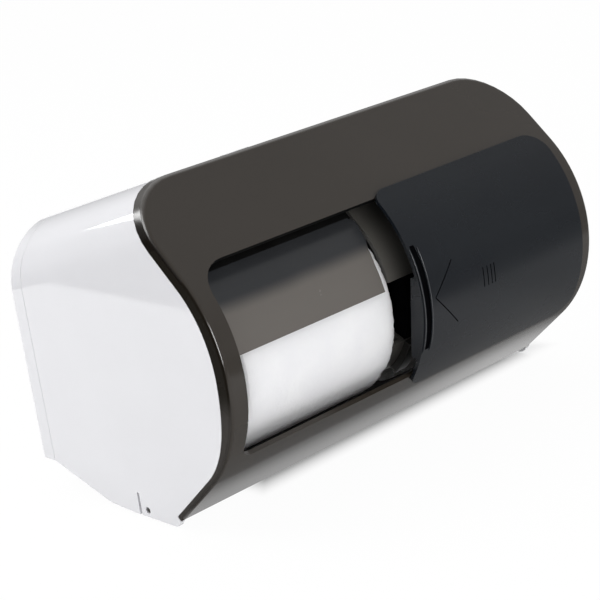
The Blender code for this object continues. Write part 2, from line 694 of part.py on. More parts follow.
def door_panel(finish):
    """The sliding door: a curved plate over the cover, with grip ribs, a finger lip and two runner ribs."""
    outer_face = -SLIDE_GAP - DOOR_THICKNESS
    low = -NOSE_RADIUS * DOOR_BOTTOM_ANGLE
    high = NOSE_UP + DOOR_TOP_RUN
    outline = rounded([
        (DOOR_LEFT, low, DOOR_INNER_CORNER),
        (DOOR_RIGHT, low, DOOR_OUTER_CORNER),
        (DOOR_RIGHT, high, DOOR_OUTER_CORNER),
        (DOOR_LEFT, high, DOOR_INNER_CORNER),
    ])
    panel = bent_sheet("door_panel", outline, outer_face, -SLIDE_GAP)
    lines = sheet_lines(low, high)
    between = [(near + far) / 2 for near, far in zip(lines, lines[1:])]
    grip_low, grip_high = -NOSE_RADIUS * GRIP_LOW_ANGLE, NOSE_RADIUS * GRIP_HIGH_ANGLE
    stations = [station for station in between if grip_low < station < grip_high]
    grip_middle = (stations[0] + stations[-1]) / 2
    grip_reach = (stations[-1] - stations[0]) / 2
    middle = outer_face + DOOR_THICKNESS / 2

    def swell(station):
        """Full height along a grip, falling to nothing at both its ends."""
        return math.sqrt(max(1.0 - ((station - grip_middle) / grip_reach) ** 6, 0.0))

    for index in range(2):
        left = DOOR_LEFT + GRIP_RIB_WIDTH / 2 + index * GRIP_RIB_PITCH
        right = left + GRIP_RIB_WIDTH

        def rib_section(station, left=left, right=right):
            """One grip rib, which sinks into the door at both ends."""
            top = outer_face - GRIP_RIB_PROUD * swell(station) + GAP * (1.0 - swell(station))
            return [(left, top), (right, top), (right, middle), (left, middle)]

        join(panel, wrapped("grip_rib", stations, rib_section))

    def lip_section(station):
        """The finger lip, a web along the door's left edge whose rear edge is straight in the side view."""
        turn = station / NOSE_RADIUS + LIP_TURN
        depth = NOSE_RADIUS - (NOSE_RADIUS - LIP_DEPTH) / math.cos(turn)
        left = DOOR_LEFT + GRIP_RIB_WIDTH / 3
        right = left + LIP_THICKNESS
        return [(left, middle), (right, middle), (right, depth), (left, depth)]

    lip_stations = [station for station in between if abs(station / NOSE_RADIUS + LIP_TURN) < LIP_ANGLE]
    join(panel, wrapped("lip", lip_stations, lip_section))
    for rib_low, rib_high in (runner_rib_top(), runner_rib_bottom()):
        join(panel, wrapped("runner_rib", [rib_low, rib_high], runner_section))
    dress(panel, finish)
    return panel


def runner_ends():
    """Where the runner ribs start and end, clear of the window's corners over the whole travel."""
    edge = WINDOW_EDGE - WINDOW_TOP_CORNER
    return DOOR_TRAVEL - edge, edge


def runner_rib_top():
    """The station range of the rib that runs under the window's top edge."""
    high = WINDOW_TOP - SLIDE_GAP
    return high - RUNNER_RIB_WIDTH, high


def runner_rib_bottom():
    """The station range of the rib that runs over the window's bottom edge."""
    low = WINDOW_BOTTOM + SLIDE_GAP
    return low, low + RUNNER_RIB_WIDTH


def runner_section(station):
    """A runner rib, from inside the door's plate to just behind the cover."""
    left, right = runner_ends()
    middle = -SLIDE_GAP - DOOR_THICKNESS / 2
    end = COVER_WALL + SLIDE_GAP
    return [(left, middle), (right, middle), (right, end), (left, end)]


def door_slider(name, low, high, finish):
    """A strip behind the cover that hooks the door on, clipped to the end of a runner rib."""
    left, right = runner_ends()
    near = COVER_WALL + SLIDE_GAP + GAP
    far = near + SLIDER_THICKNESS

    def section(station):
        """The strip's four corners."""
        return [(left, near), (right, near), (right, far), (left, far)]

    strip = wrapped(name, stations_between(low, high), section)
    dress(strip, finish)
    return strip


def hinge_arm(name, side, finish):
    """An arm from the back plate forward to the cover's hinge, with a foot on the plate."""
    eye = []
    for step in range(ROUND_STEPS // 2 + 1):
        angle = ARM_EYE_START - math.pi * step / (ROUND_STEPS // 2)
        forward = HINGE_FORWARD + ARM_EYE_RADIUS * math.cos(angle)
        height = -HINGE_DROP + ARM_EYE_RADIUS * math.sin(angle)
        eye.append((forward, height, 0.0))
    outline = rounded([
        (PLATE_FACE, ARM_ROOT_LOW, 0.0),
        (PLATE_FACE, ARM_ROOT_HIGH, 0.0),
        (ARM_KNEE_FORWARD, ARM_KNEE_HEIGHT, ARM_BEND_RADIUS),
        *eye,
        (ARM_UNDER_FORWARD, -ARM_UNDER_DROP, ARM_BEND_RADIUS),
        (PLATE_DEPTH + ARM_THICKNESS, ARM_ROOT_LOW, 0.0),
    ])
    ends = sorted((side * ARM_OUTSIDE, side * (ARM_OUTSIDE - ARM_THICKNESS)))
    arm = prism(name, outline, *ends)
    ends = sorted((side * ARM_OUTSIDE, side * (ARM_OUTSIDE - ARM_FOOT_WIDTH)))
    foot_front = PLATE_FACE + ARM_FOOT_THICKNESS
    join(arm, box("foot", ends, (PLATE_FACE, foot_front), (ARM_ROOT_LOW, ARM_ROOT_HIGH)))
    bore = rod_profile(HINGE_PIN_RADIUS + GAP, -HALF_WIDTH, HALF_WIDTH)
    hinge = world(0.0, HINGE_FORWARD, -HINGE_DROP)
    cut(arm, turned("bore", bore, hinge, (1, 0, 0), ROUND_STEPS // 2))
    for x, height in plate_screw_places():
        if x * side > HALF_WIDTH / 2:
            hole = rod_profile(SCREW_SHANK_RADIUS + GAP, 0.0, foot_front + OVERRUN)
            cut(arm, turned("hole", hole, world(x, 0.0, height), (0, -1, 0), ROUND_STEPS // 2))
    dress(arm, finish)
    return arm


def hinge_pin(name, side, finish):
    """A pin through an arm's eye and the housing's side wall."""
    start = ARM_OUTSIDE - ARM_THICKNESS - GAP
    inner = start - HINGE_PIN_HEAD_THICKNESS
    outer = HALF_WIDTH - HINGE_PIN_SETBACK
    profile = [(0.0, inner), (HINGE_PIN_HEAD_RADIUS, inner), (HINGE_PIN_HEAD_RADIUS, start),
               (HINGE_PIN_RADIUS, start), (HINGE_PIN_RADIUS, outer - GAP), (HINGE_PIN_RADIUS - GAP, outer),
               (0.0, outer)]
    hinge = world(0.0, HINGE_FORWARD, -HINGE_DROP)
    pin = turned(name, profile, hinge, (side, 0, 0), ROUND_STEPS // 2)
    dress(pin, finish)
    return pin


def centre_partition(finish):
    """The partition between the rolls: a web with a foot, and a front band with a notch for the fingers."""
    middle = BAND_DEPTH + BAND_THICKNESS / 2
    top = NOSE_UP + BAND_TOP_RUN
    notch_top = NOSE_RADIUS * NOTCH_TOP_ANGLE
    notch_bottom = -NOSE_RADIUS * NOTCH_BOTTOM_ANGLE
    low = -NOSE_RADIUS * BAND_LOW_ANGLE
    front = [on_curve(station, middle) for station in stations_between(low, notch_bottom)]
    inset = stations_between(notch_bottom, notch_top)
    front += [on_curve(station, middle + NOTCH_DEPTH) for station in inset]
    front += [on_curve(station, middle) for station in stations_between(notch_top, top)]
    outline = rounded([(a, b, 0.0) for a, b in front] + [
        (PARTITION_CROWN_FORWARD, PARTITION_CROWN_HEIGHT, PARTITION_BEND_RADIUS),
        (PLATE_FACE, PARTITION_ROOT_HIGH, 0.0),
        (PLATE_FACE, PARTITION_ROOT_LOW, 0.0),
        (PARTITION_HEEL_FORWARD, PARTITION_HEEL_HEIGHT, PARTITION_BEND_RADIUS),
    ])
    web = prism("centre_partition", outline, -PARTITION_THICKNESS / 2, PARTITION_THICKNESS / 2)

    def section(station):
        """The front band's four corners."""
        half, inner = BAND_WIDTH / 2, BAND_DEPTH + BAND_THICKNESS
        return [(-half, BAND_DEPTH), (half, BAND_DEPTH), (half, inner), (-half, inner)]

    spans = ((low - BAND_THICKNESS, notch_bottom - GAP), (notch_top + GAP, top + BAND_THICKNESS))
    for start, end in spans:
        join(web, wrapped("band", stations_between(start, end), section))
    half = PARTITION_FOOT_WIDTH / 2
    foot_front = PLATE_FACE + PARTITION_FOOT_THICKNESS
    foot_span = (PARTITION_ROOT_LOW, PARTITION_ROOT_HIGH)
    join(web, box("foot", (-half, half), (PLATE_FACE, foot_front), foot_span))
    for x, height in plate_screw_places():
        if abs(x) < HALF_WIDTH / 2:
            hole = rod_profile(SCREW_SHANK_RADIUS + GAP, 0.0, foot_front + OVERRUN)
            cut(web, turned("hole", hole, world(x, 0.0, height), (0, -1, 0), ROUND_STEPS // 2))
    dress(web, finish)
    return web


def spindle(name, side, finish):
    """A hollow spindle from the partition outwards, with a flange and a collar at its root."""
    start = PARTITION_THICKNESS / 2 + GAP
    flange = start + SPINDLE_FLANGE_THICKNESS
    collar = ROLL_INNER_END - GAP
    end = ROLL_OUTER_END + SPINDLE_PAST_ROLL
    inner = SPINDLE_RADIUS - SPINDLE_WALL
    profile = [(0.0, start), (SPINDLE_FLANGE_RADIUS, start), (SPINDLE_FLANGE_RADIUS, flange),
               (SPINDLE_COLLAR_RADIUS, flange), (SPINDLE_COLLAR_RADIUS, collar), (SPINDLE_RADIUS, collar),
               (SPINDLE_RADIUS, end), (inner, end), (inner, flange), (0.0, flange)]
    piece = turned(name, profile, world(0.0, ROLL_FORWARD, ROLL_HEIGHT), (side, 0, 0))
    dress(piece, finish)
    return piece


def spindle_cap(name, side, finish):
    """The cap that closes a spindle's end, with a small lip that keeps the core on."""
    start = ROLL_OUTER_END + SPINDLE_PAST_ROLL + GAP
    inner = SPINDLE_RADIUS - SPINDLE_WALL - GAP
    lip = SPINDLE_RADIUS + SPINDLE_CAP_LIP
    end = start + SPINDLE_CAP_THICKNESS
    profile = [(0.0, start - SPINDLE_CAP_PLUG), (inner, start - SPINDLE_CAP_PLUG), (inner, start),
               (lip, start), (lip, (start + end) / 2), (lip - SPINDLE_CAP_THICKNESS / 2, end), (0.0, end)]
    piece = turned(name, profile, world(0.0, ROLL_FORWARD, ROLL_HEIGHT), (side, 0, 0))
    dress(piece, finish)
    return piece


def paper_roll(name, side, finish):
    """The wound paper, a thick ring with slightly eased edges."""
    inner = CORE_OUTER_RADIUS + GAP
    ease = SPINDLE_PAST_ROLL / 2
    start, end = ROLL_INNER_END, ROLL_OUTER_END
    profile = [(inner, start), (ROLL_RADIUS - ease, start), (ROLL_RADIUS, start + ease),
               (ROLL_RADIUS, end - ease), (ROLL_RADIUS - ease, end), (inner, end)]
    roll = turned(name, profile, world(0.0, ROLL_FORWARD, ROLL_HEIGHT), (side, 0, 0), ROLL_STEPS)
    dress(roll, finish)
    return roll


def roll_core(name, side, finish):
    """The cardboard core inside a roll."""
    profile = tube_profile(CORE_INNER_RADIUS, CORE_OUTER_RADIUS, ROLL_INNER_END, ROLL_OUTER_END)
    core = turned(name, profile, world(0.0, ROLL_FORWARD, ROLL_HEIGHT), (side, 0, 0))
    dress(core, finish)
    return core


def lock_frame():
    """The middle of the lock on the housing's top, and the direction square to the top there."""
    normal = Vector((0.0, RISE, 1.0)).normalized()
    return world(0.0, LOCK_FORWARD, PLATE_HEIGHT + RISE * LOCK_FORWARD), normal


def lock_barrel(finish):
    """The lock's fixed barrel, with its flange on the housing's top."""
    top, normal = lock_frame()
    bore = LOCK_PLUG_RADIUS + GAP
    profile = [(bore, LOCK_FLANGE_PROUD), (LOCK_FLANGE_RADIUS - GAP, LOCK_FLANGE_PROUD),
               (LOCK_FLANGE_RADIUS, LOCK_FLANGE_PROUD - GAP), (LOCK_FLANGE_RADIUS, GAP),
               (LOCK_BODY_RADIUS, GAP), (LOCK_BODY_RADIUS, -LOCK_BODY_LENGTH), (bore, -LOCK_BODY_LENGTH)]
    piece = turned("lock_barrel", profile, top, normal)
    dress(piece, finish)
    return piece


def lock_ring(finish):
    """The hexagonal nut under the housing's top that clamps the barrel."""
    top, normal = lock_frame()
    start = -HOUSING_WALL - GAP
    blank = rod_profile(LOCK_RING_RADIUS, start, start - LOCK_RING_THICKNESS)
    ring = turned("lock_ring_nut", blank, top, normal, 6)
    hole = rod_profile(LOCK_BODY_RADIUS + GAP, OVERRUN, -LOCK_BODY_LENGTH)
    cut(ring, turned("hole", hole, top, normal))
    dress(ring, finish)
    return ring


def lock_plug(finish):
    """The turning plug, with a keyway on top and a stud below for the cam."""
    top, normal = lock_frame()
    shoulder = -LOCK_BODY_LENGTH - GAP
    end = shoulder - LOCK_STUD_LENGTH
    profile = [(0.0, LOCK_FLANGE_PROUD), (LOCK_PLUG_RADIUS, LOCK_FLANGE_PROUD),
               (LOCK_PLUG_RADIUS, shoulder), (LOCK_STUD_RADIUS, shoulder), (LOCK_STUD_RADIUS, end),
               (0.0, end)]
    plug = turned("lock_plug", profile, top, normal)
    made = bmesh.new()
    bmesh.ops.create_cube(made, size=1.0)
    bmesh.ops.scale(made, vec=(KEYWAY_LENGTH, KEYWAY_WIDTH, 2 * KEYWAY_DEPTH), verts=made.verts)
    keyway = make_object("keyway", made)
    turn = Vector((0.0, 0.0, 1.0)).rotation_difference(normal).to_matrix().to_4x4()
    keyway.data.transform(Matrix.Translation(top + normal * LOCK_FLANGE_PROUD) @ turn)
    cut(plug, keyway)
    dress(plug, finish)
    return plug


def on_top(across, along, height):
    """A point near the lock: across is +X, along is forward on the sloping top, height is square to it."""
    top, normal = lock_frame()
    forward = Vector((0.0, -1.0, RISE)).normalized()
    return top + Vector((across, 0.0, 0.0)) + forward * along + normal * height


def lock_cam(finish):
    """The hooked cam, drawn unlocked, with its arm to the left and its hook towards the wall."""
    upper = -LOCK_BODY_LENGTH - 2 * GAP
    lower = upper - CAM_THICKNESS
    half = CAM_ARM_WIDTH / 2
    junction = math.pi - math.asin(half / CAM_HUB_RADIUS)
    outline = [(CAM_HUB_RADIUS * math.cos(angle), CAM_HUB_RADIUS * math.sin(angle))
               for angle in even_stations(junction, -junction, ROUND_STEPS // 2)]
    hook = CAM_HOOK_WIDTH - CAM_ARM_LENGTH
    outline += [(hook, -half), (hook, -CAM_HOOK_REACH), (-CAM_ARM_LENGTH, -CAM_HOOK_REACH),
                (-CAM_ARM_LENGTH, half)]
    faces = [[on_top(a, b, height) for a, b in outline] for height in (upper, lower)]
    arm = from_rings("lock_cam", faces)
    top, normal = lock_frame()
    hole = rod_profile(LOCK_STUD_RADIUS + GAP, upper + OVERRUN, lower - OVERRUN)
    cut(arm, turned("hole", hole, top, normal))
    dress(arm, finish)
    return arm


def cam_nut(finish):
    """The nut that holds the cam on the plug's stud."""
    top, normal = lock_frame()
    start = -LOCK_BODY_LENGTH - CAM_THICKNESS - 3 * GAP
    blank = rod_profile(CAM_NUT_RADIUS, start, start - CAM_NUT_THICKNESS)
    nut = turned("lock_cam_nut", blank, top, normal, 6)
    hole = rod_profile(LOCK_STUD_RADIUS + GAP, start + OVERRUN, start - CAM_NUT_THICKNESS - OVERRUN)
    cut(nut, turned("hole", hole, top, normal))
    dress(nut, finish)
    return nut


def lock_catch(finish):
    """The catch on the back plate: a shelf with a post that the cam's hook turns in behind."""
    cam_depth = LOCK_BODY_LENGTH + CAM_THICKNESS + 2 * GAP
    locked_hook = on_top(0.0, CAM_HOOK_WIDTH - CAM_ARM_LENGTH, -cam_depth)
    post_back = CATCH_CLEARANCE - locked_hook.y
    post_front = post_back + CATCH_POST_DEPTH
    hook_height = locked_hook.z + WALL_CENTRE
    post_top = hook_height + CATCH_POST_OVER_HOOK
    shelf = hook_height - CATCH_SHELF_UNDER_HOOK
    shelf_top = shelf + CATCH_SHELF_THICKNESS
    foot_low = shelf - CATCH_FOOT_UNDER_SHELF
    foot_top = shelf_top + CATCH_FOOT_OVER_SHELF
    foot_front = PLATE_FACE + CATCH_FOOT_THICKNESS
    left = CAM_ARM_WIDTH / 2 + CATCH_SIDE_GAP
    right = CAM_HOOK_REACH
    outline = [(PLATE_FACE, foot_low), (foot_front, foot_low), (foot_front, shelf), (post_front, shelf),
               (post_front, post_top), (post_back, post_top), (post_back, shelf_top),
               (foot_front, shelf_top), (foot_front, foot_top), (PLATE_FACE, foot_top)]
    catch = prism("lock_catch", outline, left, right)
    dress(catch, finish)
    return catch


def carry(name, place, pieces):
    """Hangs pieces on an empty at a place on their joint's axis, so that each has its origin there."""
    holder = bpy.data.objects.new(name, None)
    holder.location = place
    bpy.context.scene.collection.objects.link(holder)
    for piece in pieces:
        piece.data.transform(Matrix.Translation(-place))
        piece.parent = holder
    return holder


def main():
    """Clears the scene, builds every piece, and hangs the moving ones on their joints."""
    for old in list(bpy.data.objects):
        bpy.data.objects.remove(old)
    white = material("white_plastic", (0.86, 0.86, 0.88), 0.25)
    smoke = material("smoke_plastic", (0.055, 0.048, 0.043), 0.18)
    charcoal = material("charcoal_plastic", (0.03, 0.033, 0.038), 0.25)
    grey = material("guard_plastic", (0.09, 0.085, 0.08), 0.2)
    dark = material("dark_plastic", (0.025, 0.024, 0.022), 0.4)
    pale = material("arm_plastic", (0.7, 0.7, 0.72), 0.4)
    steel = material("steel", (0.6, 0.6, 0.62), 0.3, 1.0)
    paper = material("paper", (0.86, 0.86, 0.87), 0.95)
    card = material("card", (0.5, 0.42, 0.32), 0.9)
    back_plate(white)
    centre_partition(dark)
    foot_screws(steel)
    lock_catch(pale)
    rib_low, rib_high = runner_rib_top()
    top_slider = door_slider("door_top_slider", rib_low, rib_high + SLIDER_HOOK, charcoal)
    rib_low, rib_high = runner_rib_bottom()
    bottom_slider = door_slider("door_bottom_slider", rib_low - SLIDER_HOOK, rib_high, charcoal)
    swinging = [housing(white), front_cover(smoke), lock_barrel(steel), lock_ring(steel)]
    swinging += guard_screws(steel)
    for name, side in (("left", -1), ("right", 1)):
        hinge_arm(name + "_hinge_arm", side, pale)
        hinge_pin(name + "_hinge_pin", side, dark)
        spindle(name + "_spindle", side, dark)
        spindle_cap(name + "_spindle_cap", side, dark)
        swinging.append(roll_guard(name + "_roll_guard", side, grey))
        roll = paper_roll(name + "_paper_roll", side, paper)
        core = roll_core(name + "_roll_core", side, card)
        carry(name + "_roll_axis", world(0.0, ROLL_FORWARD, ROLL_HEIGHT), [roll, core])
    carry("cover_axis", world(0.0, HINGE_FORWARD, -HINGE_DROP), swinging)
    panel = door_panel(charcoal)
    carry("door_track", world(0.0, NOSE_FRONT, NOSE_HEIGHT), [panel, top_slider, bottom_slider])
    carry("lock_axis", lock_frame()[0], [lock_plug(steel), lock_cam(steel), cam_nut(steel)])


main()
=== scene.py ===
"""Looks of the double roll toilet paper dispenser.

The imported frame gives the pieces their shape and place. This script rounds their edges, gives every surface
its finish, winds the paper on the rolls, marks the door, and sets up the studio and the camera.
The frame has +X to the right, +Y into the wall and +Z up, with its origin in the middle of the back plate.
Lengths are in metres.
"""

import json
import logging
import math
from dataclasses import dataclass
from enum import Enum
from itertools import pairwise

import bmesh
import bpy
from bmesh.types import BMEdge, BMesh, BMFace, BMVert
from bpy.types import ID, Material, Mesh, Node, NodeSocket, Object, World, bpy_struct
from mathutils import Matrix, Vector, noise

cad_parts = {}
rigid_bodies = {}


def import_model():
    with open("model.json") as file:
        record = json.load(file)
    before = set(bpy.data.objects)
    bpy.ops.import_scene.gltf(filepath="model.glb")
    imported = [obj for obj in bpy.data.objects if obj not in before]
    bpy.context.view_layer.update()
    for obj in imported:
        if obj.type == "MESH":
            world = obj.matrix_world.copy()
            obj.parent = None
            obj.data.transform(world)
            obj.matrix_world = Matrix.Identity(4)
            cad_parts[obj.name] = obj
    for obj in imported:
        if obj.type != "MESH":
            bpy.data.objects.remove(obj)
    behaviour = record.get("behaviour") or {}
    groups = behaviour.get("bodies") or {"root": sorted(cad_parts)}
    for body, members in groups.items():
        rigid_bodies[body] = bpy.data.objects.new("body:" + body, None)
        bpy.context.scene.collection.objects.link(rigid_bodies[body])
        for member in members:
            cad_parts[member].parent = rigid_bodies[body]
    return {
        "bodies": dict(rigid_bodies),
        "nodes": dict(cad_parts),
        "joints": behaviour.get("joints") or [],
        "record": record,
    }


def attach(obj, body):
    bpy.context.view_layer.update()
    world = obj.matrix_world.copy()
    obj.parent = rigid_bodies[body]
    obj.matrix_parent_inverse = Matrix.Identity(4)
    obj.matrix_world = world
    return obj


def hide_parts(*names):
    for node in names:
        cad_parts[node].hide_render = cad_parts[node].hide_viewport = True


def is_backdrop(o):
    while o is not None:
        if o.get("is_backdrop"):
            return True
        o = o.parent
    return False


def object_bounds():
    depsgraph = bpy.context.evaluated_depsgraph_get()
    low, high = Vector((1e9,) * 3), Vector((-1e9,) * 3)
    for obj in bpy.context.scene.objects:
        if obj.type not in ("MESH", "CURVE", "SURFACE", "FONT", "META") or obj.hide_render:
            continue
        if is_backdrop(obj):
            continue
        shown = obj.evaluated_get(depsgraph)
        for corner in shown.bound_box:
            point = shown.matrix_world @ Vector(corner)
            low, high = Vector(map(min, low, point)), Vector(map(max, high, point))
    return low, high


LOG = logging.getLogger("dispenser")
MILLIMETRE = 0.001
WELD_REACH = 0.01 * MILLIMETRE  # points nearer than this are one point
FLAT_TURN = math.radians(0.6)  # faces that turn less than this are one flat face
SHARP_TURN = math.radians(32)  # edges that turn more than this are rounded
FACE_WEIGHT = 80  # how much large faces steer the shading of rounded edges
FEW = 2  # steps across a very small rounding
SOFT, CLOUDY, CRISP = 2.0, 3.0, 4.0  # octaves of finer noise
COLOUR_STOPS = (0.35, 0.65)  # the part of a noise over which a colour drifts
GLOSS_STOPS = (0.3, 0.7)  # the part of a noise over which the roughness changes
RING_SCALE = 0.314  # scale of a wave texture whose rings are one metre apart

Span = tuple[float, float]
Triple = tuple[float, float, float]
Change = tuple[Span, Span]  # where a change starts and ends, and its values there
Section = tuple[float, Span, Span]  # a strip's station, its two x values, and its outer and inner depth
Feed = NodeSocket | float | tuple[float, ...] | None  # an output to link, a value to set, or neither
Inputs = dict[str | int, Feed]


class Side(Enum):
    """The two ends of the dispenser, with the sign of their x."""

    LEFT = -1
    RIGHT = 1


class CoverPart(Enum):
    """The parts of the smoke cover, with the place of their finish among its materials; the rim's sideways faces
    and the window's top wall get painted shade.
    """

    SKIN = 0
    RIM_SIDE = 1
    WINDOW_WALL = 2


class Socket(Enum):
    """The shader sockets that a finish sets to one value."""

    METALLIC = "Metallic"
    IOR = "IOR"
    SUBSURFACE = "Subsurface Weight"
    SUBSURFACE_SCALE = "Subsurface Scale"
    SUBSURFACE_RADIUS = "Subsurface Radius"
    SHEEN = "Sheen Weight"
    SHEEN_ROUGHNESS = "Sheen Roughness"
    SPECULAR = "Specular IOR Level"


def rgba(colour: Triple) -> tuple[float, ...]:
    """The colour with full opacity."""
    return (*colour, 1.0)


def configure(thing: bpy_struct, settings: dict[str, float | bool | str]) -> None:
    """Sets some of the settings that a node or a modifier has of its own."""
    for name, value in settings.items():
        setattr(thing, name, value)


def ease(share: float) -> float:
    """A share from 0 to 1, made to start and end gently."""
    return share * share * (3 - 2 * share)


def even_steps(low: float, high: float, steps: int) -> list[float]:
    """Evenly spaced values from low to high, both included."""
    return [low + (high - low) * step / steps for step in range(steps + 1)]


class Wiring:
    """Adds nodes to a material or a world and links them."""

    def __init__(self, owner: Material | World, coordinates: str = "Object") -> None:
        """Turns the nodes on.

        Args:
            owner: The material or world to work on.
            coordinates: The kind of coordinates to use.
        """
        owner.use_nodes = True
        self.nodes = owner.node_tree.nodes
        self.links = owner.node_tree.links
        self.place = self.add("ShaderNodeTexCoord").outputs[coordinates]

    def feed(self, node: Node, inputs: Inputs) -> None:
        """Fills some of a node's inputs.

        Args:
            node: The node.
            inputs: What its inputs get.
        """
        for name, value in inputs.items():
            if isinstance(value, NodeSocket):
                self.links.new(value, node.inputs[name])
            elif value is not None:
                node.inputs[name].default_value = value

    def add(self, kind: str, inputs: Inputs | None = None, **settings: str) -> Node:
        """Adds a node.

        Args:
            kind: The node's kind.
            inputs: What its inputs get.
            **settings: The node's own choices.

        Returns:
            The node.
        """
        node = self.nodes.new(kind)
        self.feed(node, inputs or {})
        configure(node, settings)
        return node

    def split(self, vector: NodeSocket) -> Node:
        """A node that gives a vector's X, Y and Z."""
        return self.add("ShaderNodeSeparateXYZ", {"Vector": vector})

    def noise(self, size: float, detail: float, place: NodeSocket | None = None) -> NodeSocket:
        """A noise, from the distance between its bumps, its octaves, and coordinates other than the usual ones."""
        inputs = {"Vector": self.place if place is None else place, "Scale": 1.0 / size, "Detail": detail}
        return self.add("ShaderNodeTexNoise", inputs).outputs["Fac"]

    def bump(self, height: NodeSocket, distance: float, under: NodeSocket | None = None) -> NodeSocket:
        """The normal of a relief, from its height, how far it stands out, and the relief that it lies on."""
        inputs = {"Height": height, "Distance": distance, "Normal": under}
        return self.add("ShaderNodeBump", inputs).outputs["Normal"]

    def combine(self, operation: str, first: Feed, second: Feed = 0.0) -> NodeSocket:
        """The result of a Math node on two values, each of them linked or fixed."""
        return self.add("ShaderNodeMath", {0: first, 1: second}, operation=operation).outputs[0]

    def spread(self, value: Feed, source: Span, target: Span = (0.0, 1.0), smooth: bool = True) -> NodeSocket:
        """The value, mapped from one range to another with a gentle start and end, or in proportion."""
        inputs, kind = dict(enumerate((value, *source, *target))), "SMOOTHSTEP" if smooth else "LINEAR"
        return self.add("ShaderNodeMapRange", inputs, interpolation_type=kind).outputs["Result"]

    def mix(self, share: NodeSocket, first: Feed, second: Feed) -> NodeSocket:
        """The mix of two colours, linked or fixed, from the share of the second."""
        return self.add("ShaderNodeMixRGB", {"Fac": share, "Color1": first, "Color2": second}).outputs["Color"]

    def ramp(self, value: NodeSocket, stops: list[tuple[float, Triple]]) -> NodeSocket:
        """Turns a value into a colour.

        Args:
            value: The value.
            stops: Values from 0 to 1 in rising order, each with its colour.

        Returns:
            The colour's socket.
        """
        node = self.add("ShaderNodeValToRGB", {"Fac": value})
        ends = node.color_ramp.elements
        for end, (position, colour) in zip(ends, (stops[0], stops[-1])):
            end.position, end.color = position, rgba(colour)
        for position, colour in stops[1:-1]:
            ends.new(position).color = rgba(colour)
        return node.outputs["Color"]

    def seen(self, rays: Node) -> NodeSocket:
        """Where the camera looks, straight or through glass, from the light path node."""
        return self.combine("MAXIMUM", rays.outputs["Is Camera Ray"], rays.outputs["Is Transmission Ray"])


@dataclass(frozen=True)
class Finish:
    """A surface with cloudy colour, uneven gloss and a fine relief.

    Attributes:
        name: The material's name.
        slot: The record's material slot; not used.
        colour: The darker of the two colours that drift into each other.
        tint: The lighter one.
        cloud_size: Distance over which the colour drifts.
        gloss: Lowest and highest roughness.
        grain_size: Distance between the relief's bumps.
        grain_height: Height of the relief.
        constants: Values that are the same all over.
    """

    name: str
    slot: str
    colour: Triple
    tint: Triple
    cloud_size: float
    gloss: Span
    grain_size: float
    grain_height: float
    constants: tuple[tuple[Socket, float | Triple], ...] = ()

    def make(self) -> Material:
        """Makes the material.

        Returns:
            The new material, with its nodes linked.
        """
        material = bpy.data.materials.new(self.name)
        wiring = Wiring(material)
        shader = wiring.nodes["Principled BSDF"]
        wiring.feed(shader, {socket.value: value for socket, value in self.constants})
        wiring.feed(shader, {"Base Color": self._colour(wiring), "Roughness": self._gloss(wiring),
                             "Normal": self._relief(wiring)})
        return material

    def _colour(self, wiring: Wiring) -> NodeSocket:
        """The drifting colour."""
        stops = list(zip(COLOUR_STOPS, (self.colour, self.tint)))
        return wiring.ramp(wiring.noise(self.cloud_size, CLOUDY), stops)

    def _gloss(self, wiring: Wiring) -> NodeSocket:
        """The uneven roughness."""
        return wiring.spread(wiring.noise(self.cloud_size / 2, CRISP), GLOSS_STOPS, self.gloss, smooth=False)

    def _relief(self, wiring: Wiring) -> NodeSocket:
        """The normal with the fine relief."""
        return wiring.bump(wiring.noise(self.grain_size, SOFT), self.grain_height)


@dataclass(frozen=True)
class HeightLitPlastic(Finish):
    """Plastic whose lower part is painted paler, as painted light: the guard's for the lit paper behind it, the
    cover rim's as a painted reflection of the floor.

    Attributes:
        lit_low_colour: The paler colour of painted light at the bottom.
        low_height: Height below which the colour is the low one.
        high_height: Height above which the colour is the usual one.
        raggedness: How uneven the change is, as a share of the low height.
    """

    lit_low_colour: Triple = (0.118, 0.108, 0.099)
    low_height: float = 0.032
    high_height: float = 0.041
    raggedness: float = 0.1

    def _colour(self, wiring: Wiring) -> NodeSocket:
        """Mixes the drifting colour with the painted light of the low one by height.

        Args:
            wiring: The material's nodes.

        Returns:
            The colour's socket.
        """
        clouds = wiring.noise(self.cloud_size, SOFT)
        ragged = wiring.combine("MULTIPLY", clouds, -self.low_height * self.raggedness)
        height = wiring.combine("ADD", wiring.split(wiring.place).outputs["Z"], ragged)
        share = wiring.spread(height, (self.low_height, self.high_height))
        return wiring.mix(share, rgba(self.lit_low_colour), super()._colour(wiring))


@dataclass(frozen=True)
class SideShadedPlastic(Finish):
    """Smoke plastic whose thin side edges are painted darker than its broad face, as painted shade.

    Attributes:
        side_shade_colour: The painted shade colour of faces that look sideways.
        rim_turn: How far a face turns sideways where that colour starts and where it is full, from 0 to 1.
    """

    side_shade_colour: Triple = (0.005, 0.003, 0.0015)
    rim_turn: Span = (0.6, 1.0)

    def _colour(self, wiring: Wiring) -> NodeSocket:
        """The drifting colour, mixed with the painted side shade."""
        sideways = wiring.combine("ABSOLUTE", wiring.split(wiring.place.node.outputs["Normal"]).outputs["X"])
        return wiring.mix(wiring.spread(sideways, self.rim_turn), super()._colour(wiring), rgba(self.side_shade_colour))


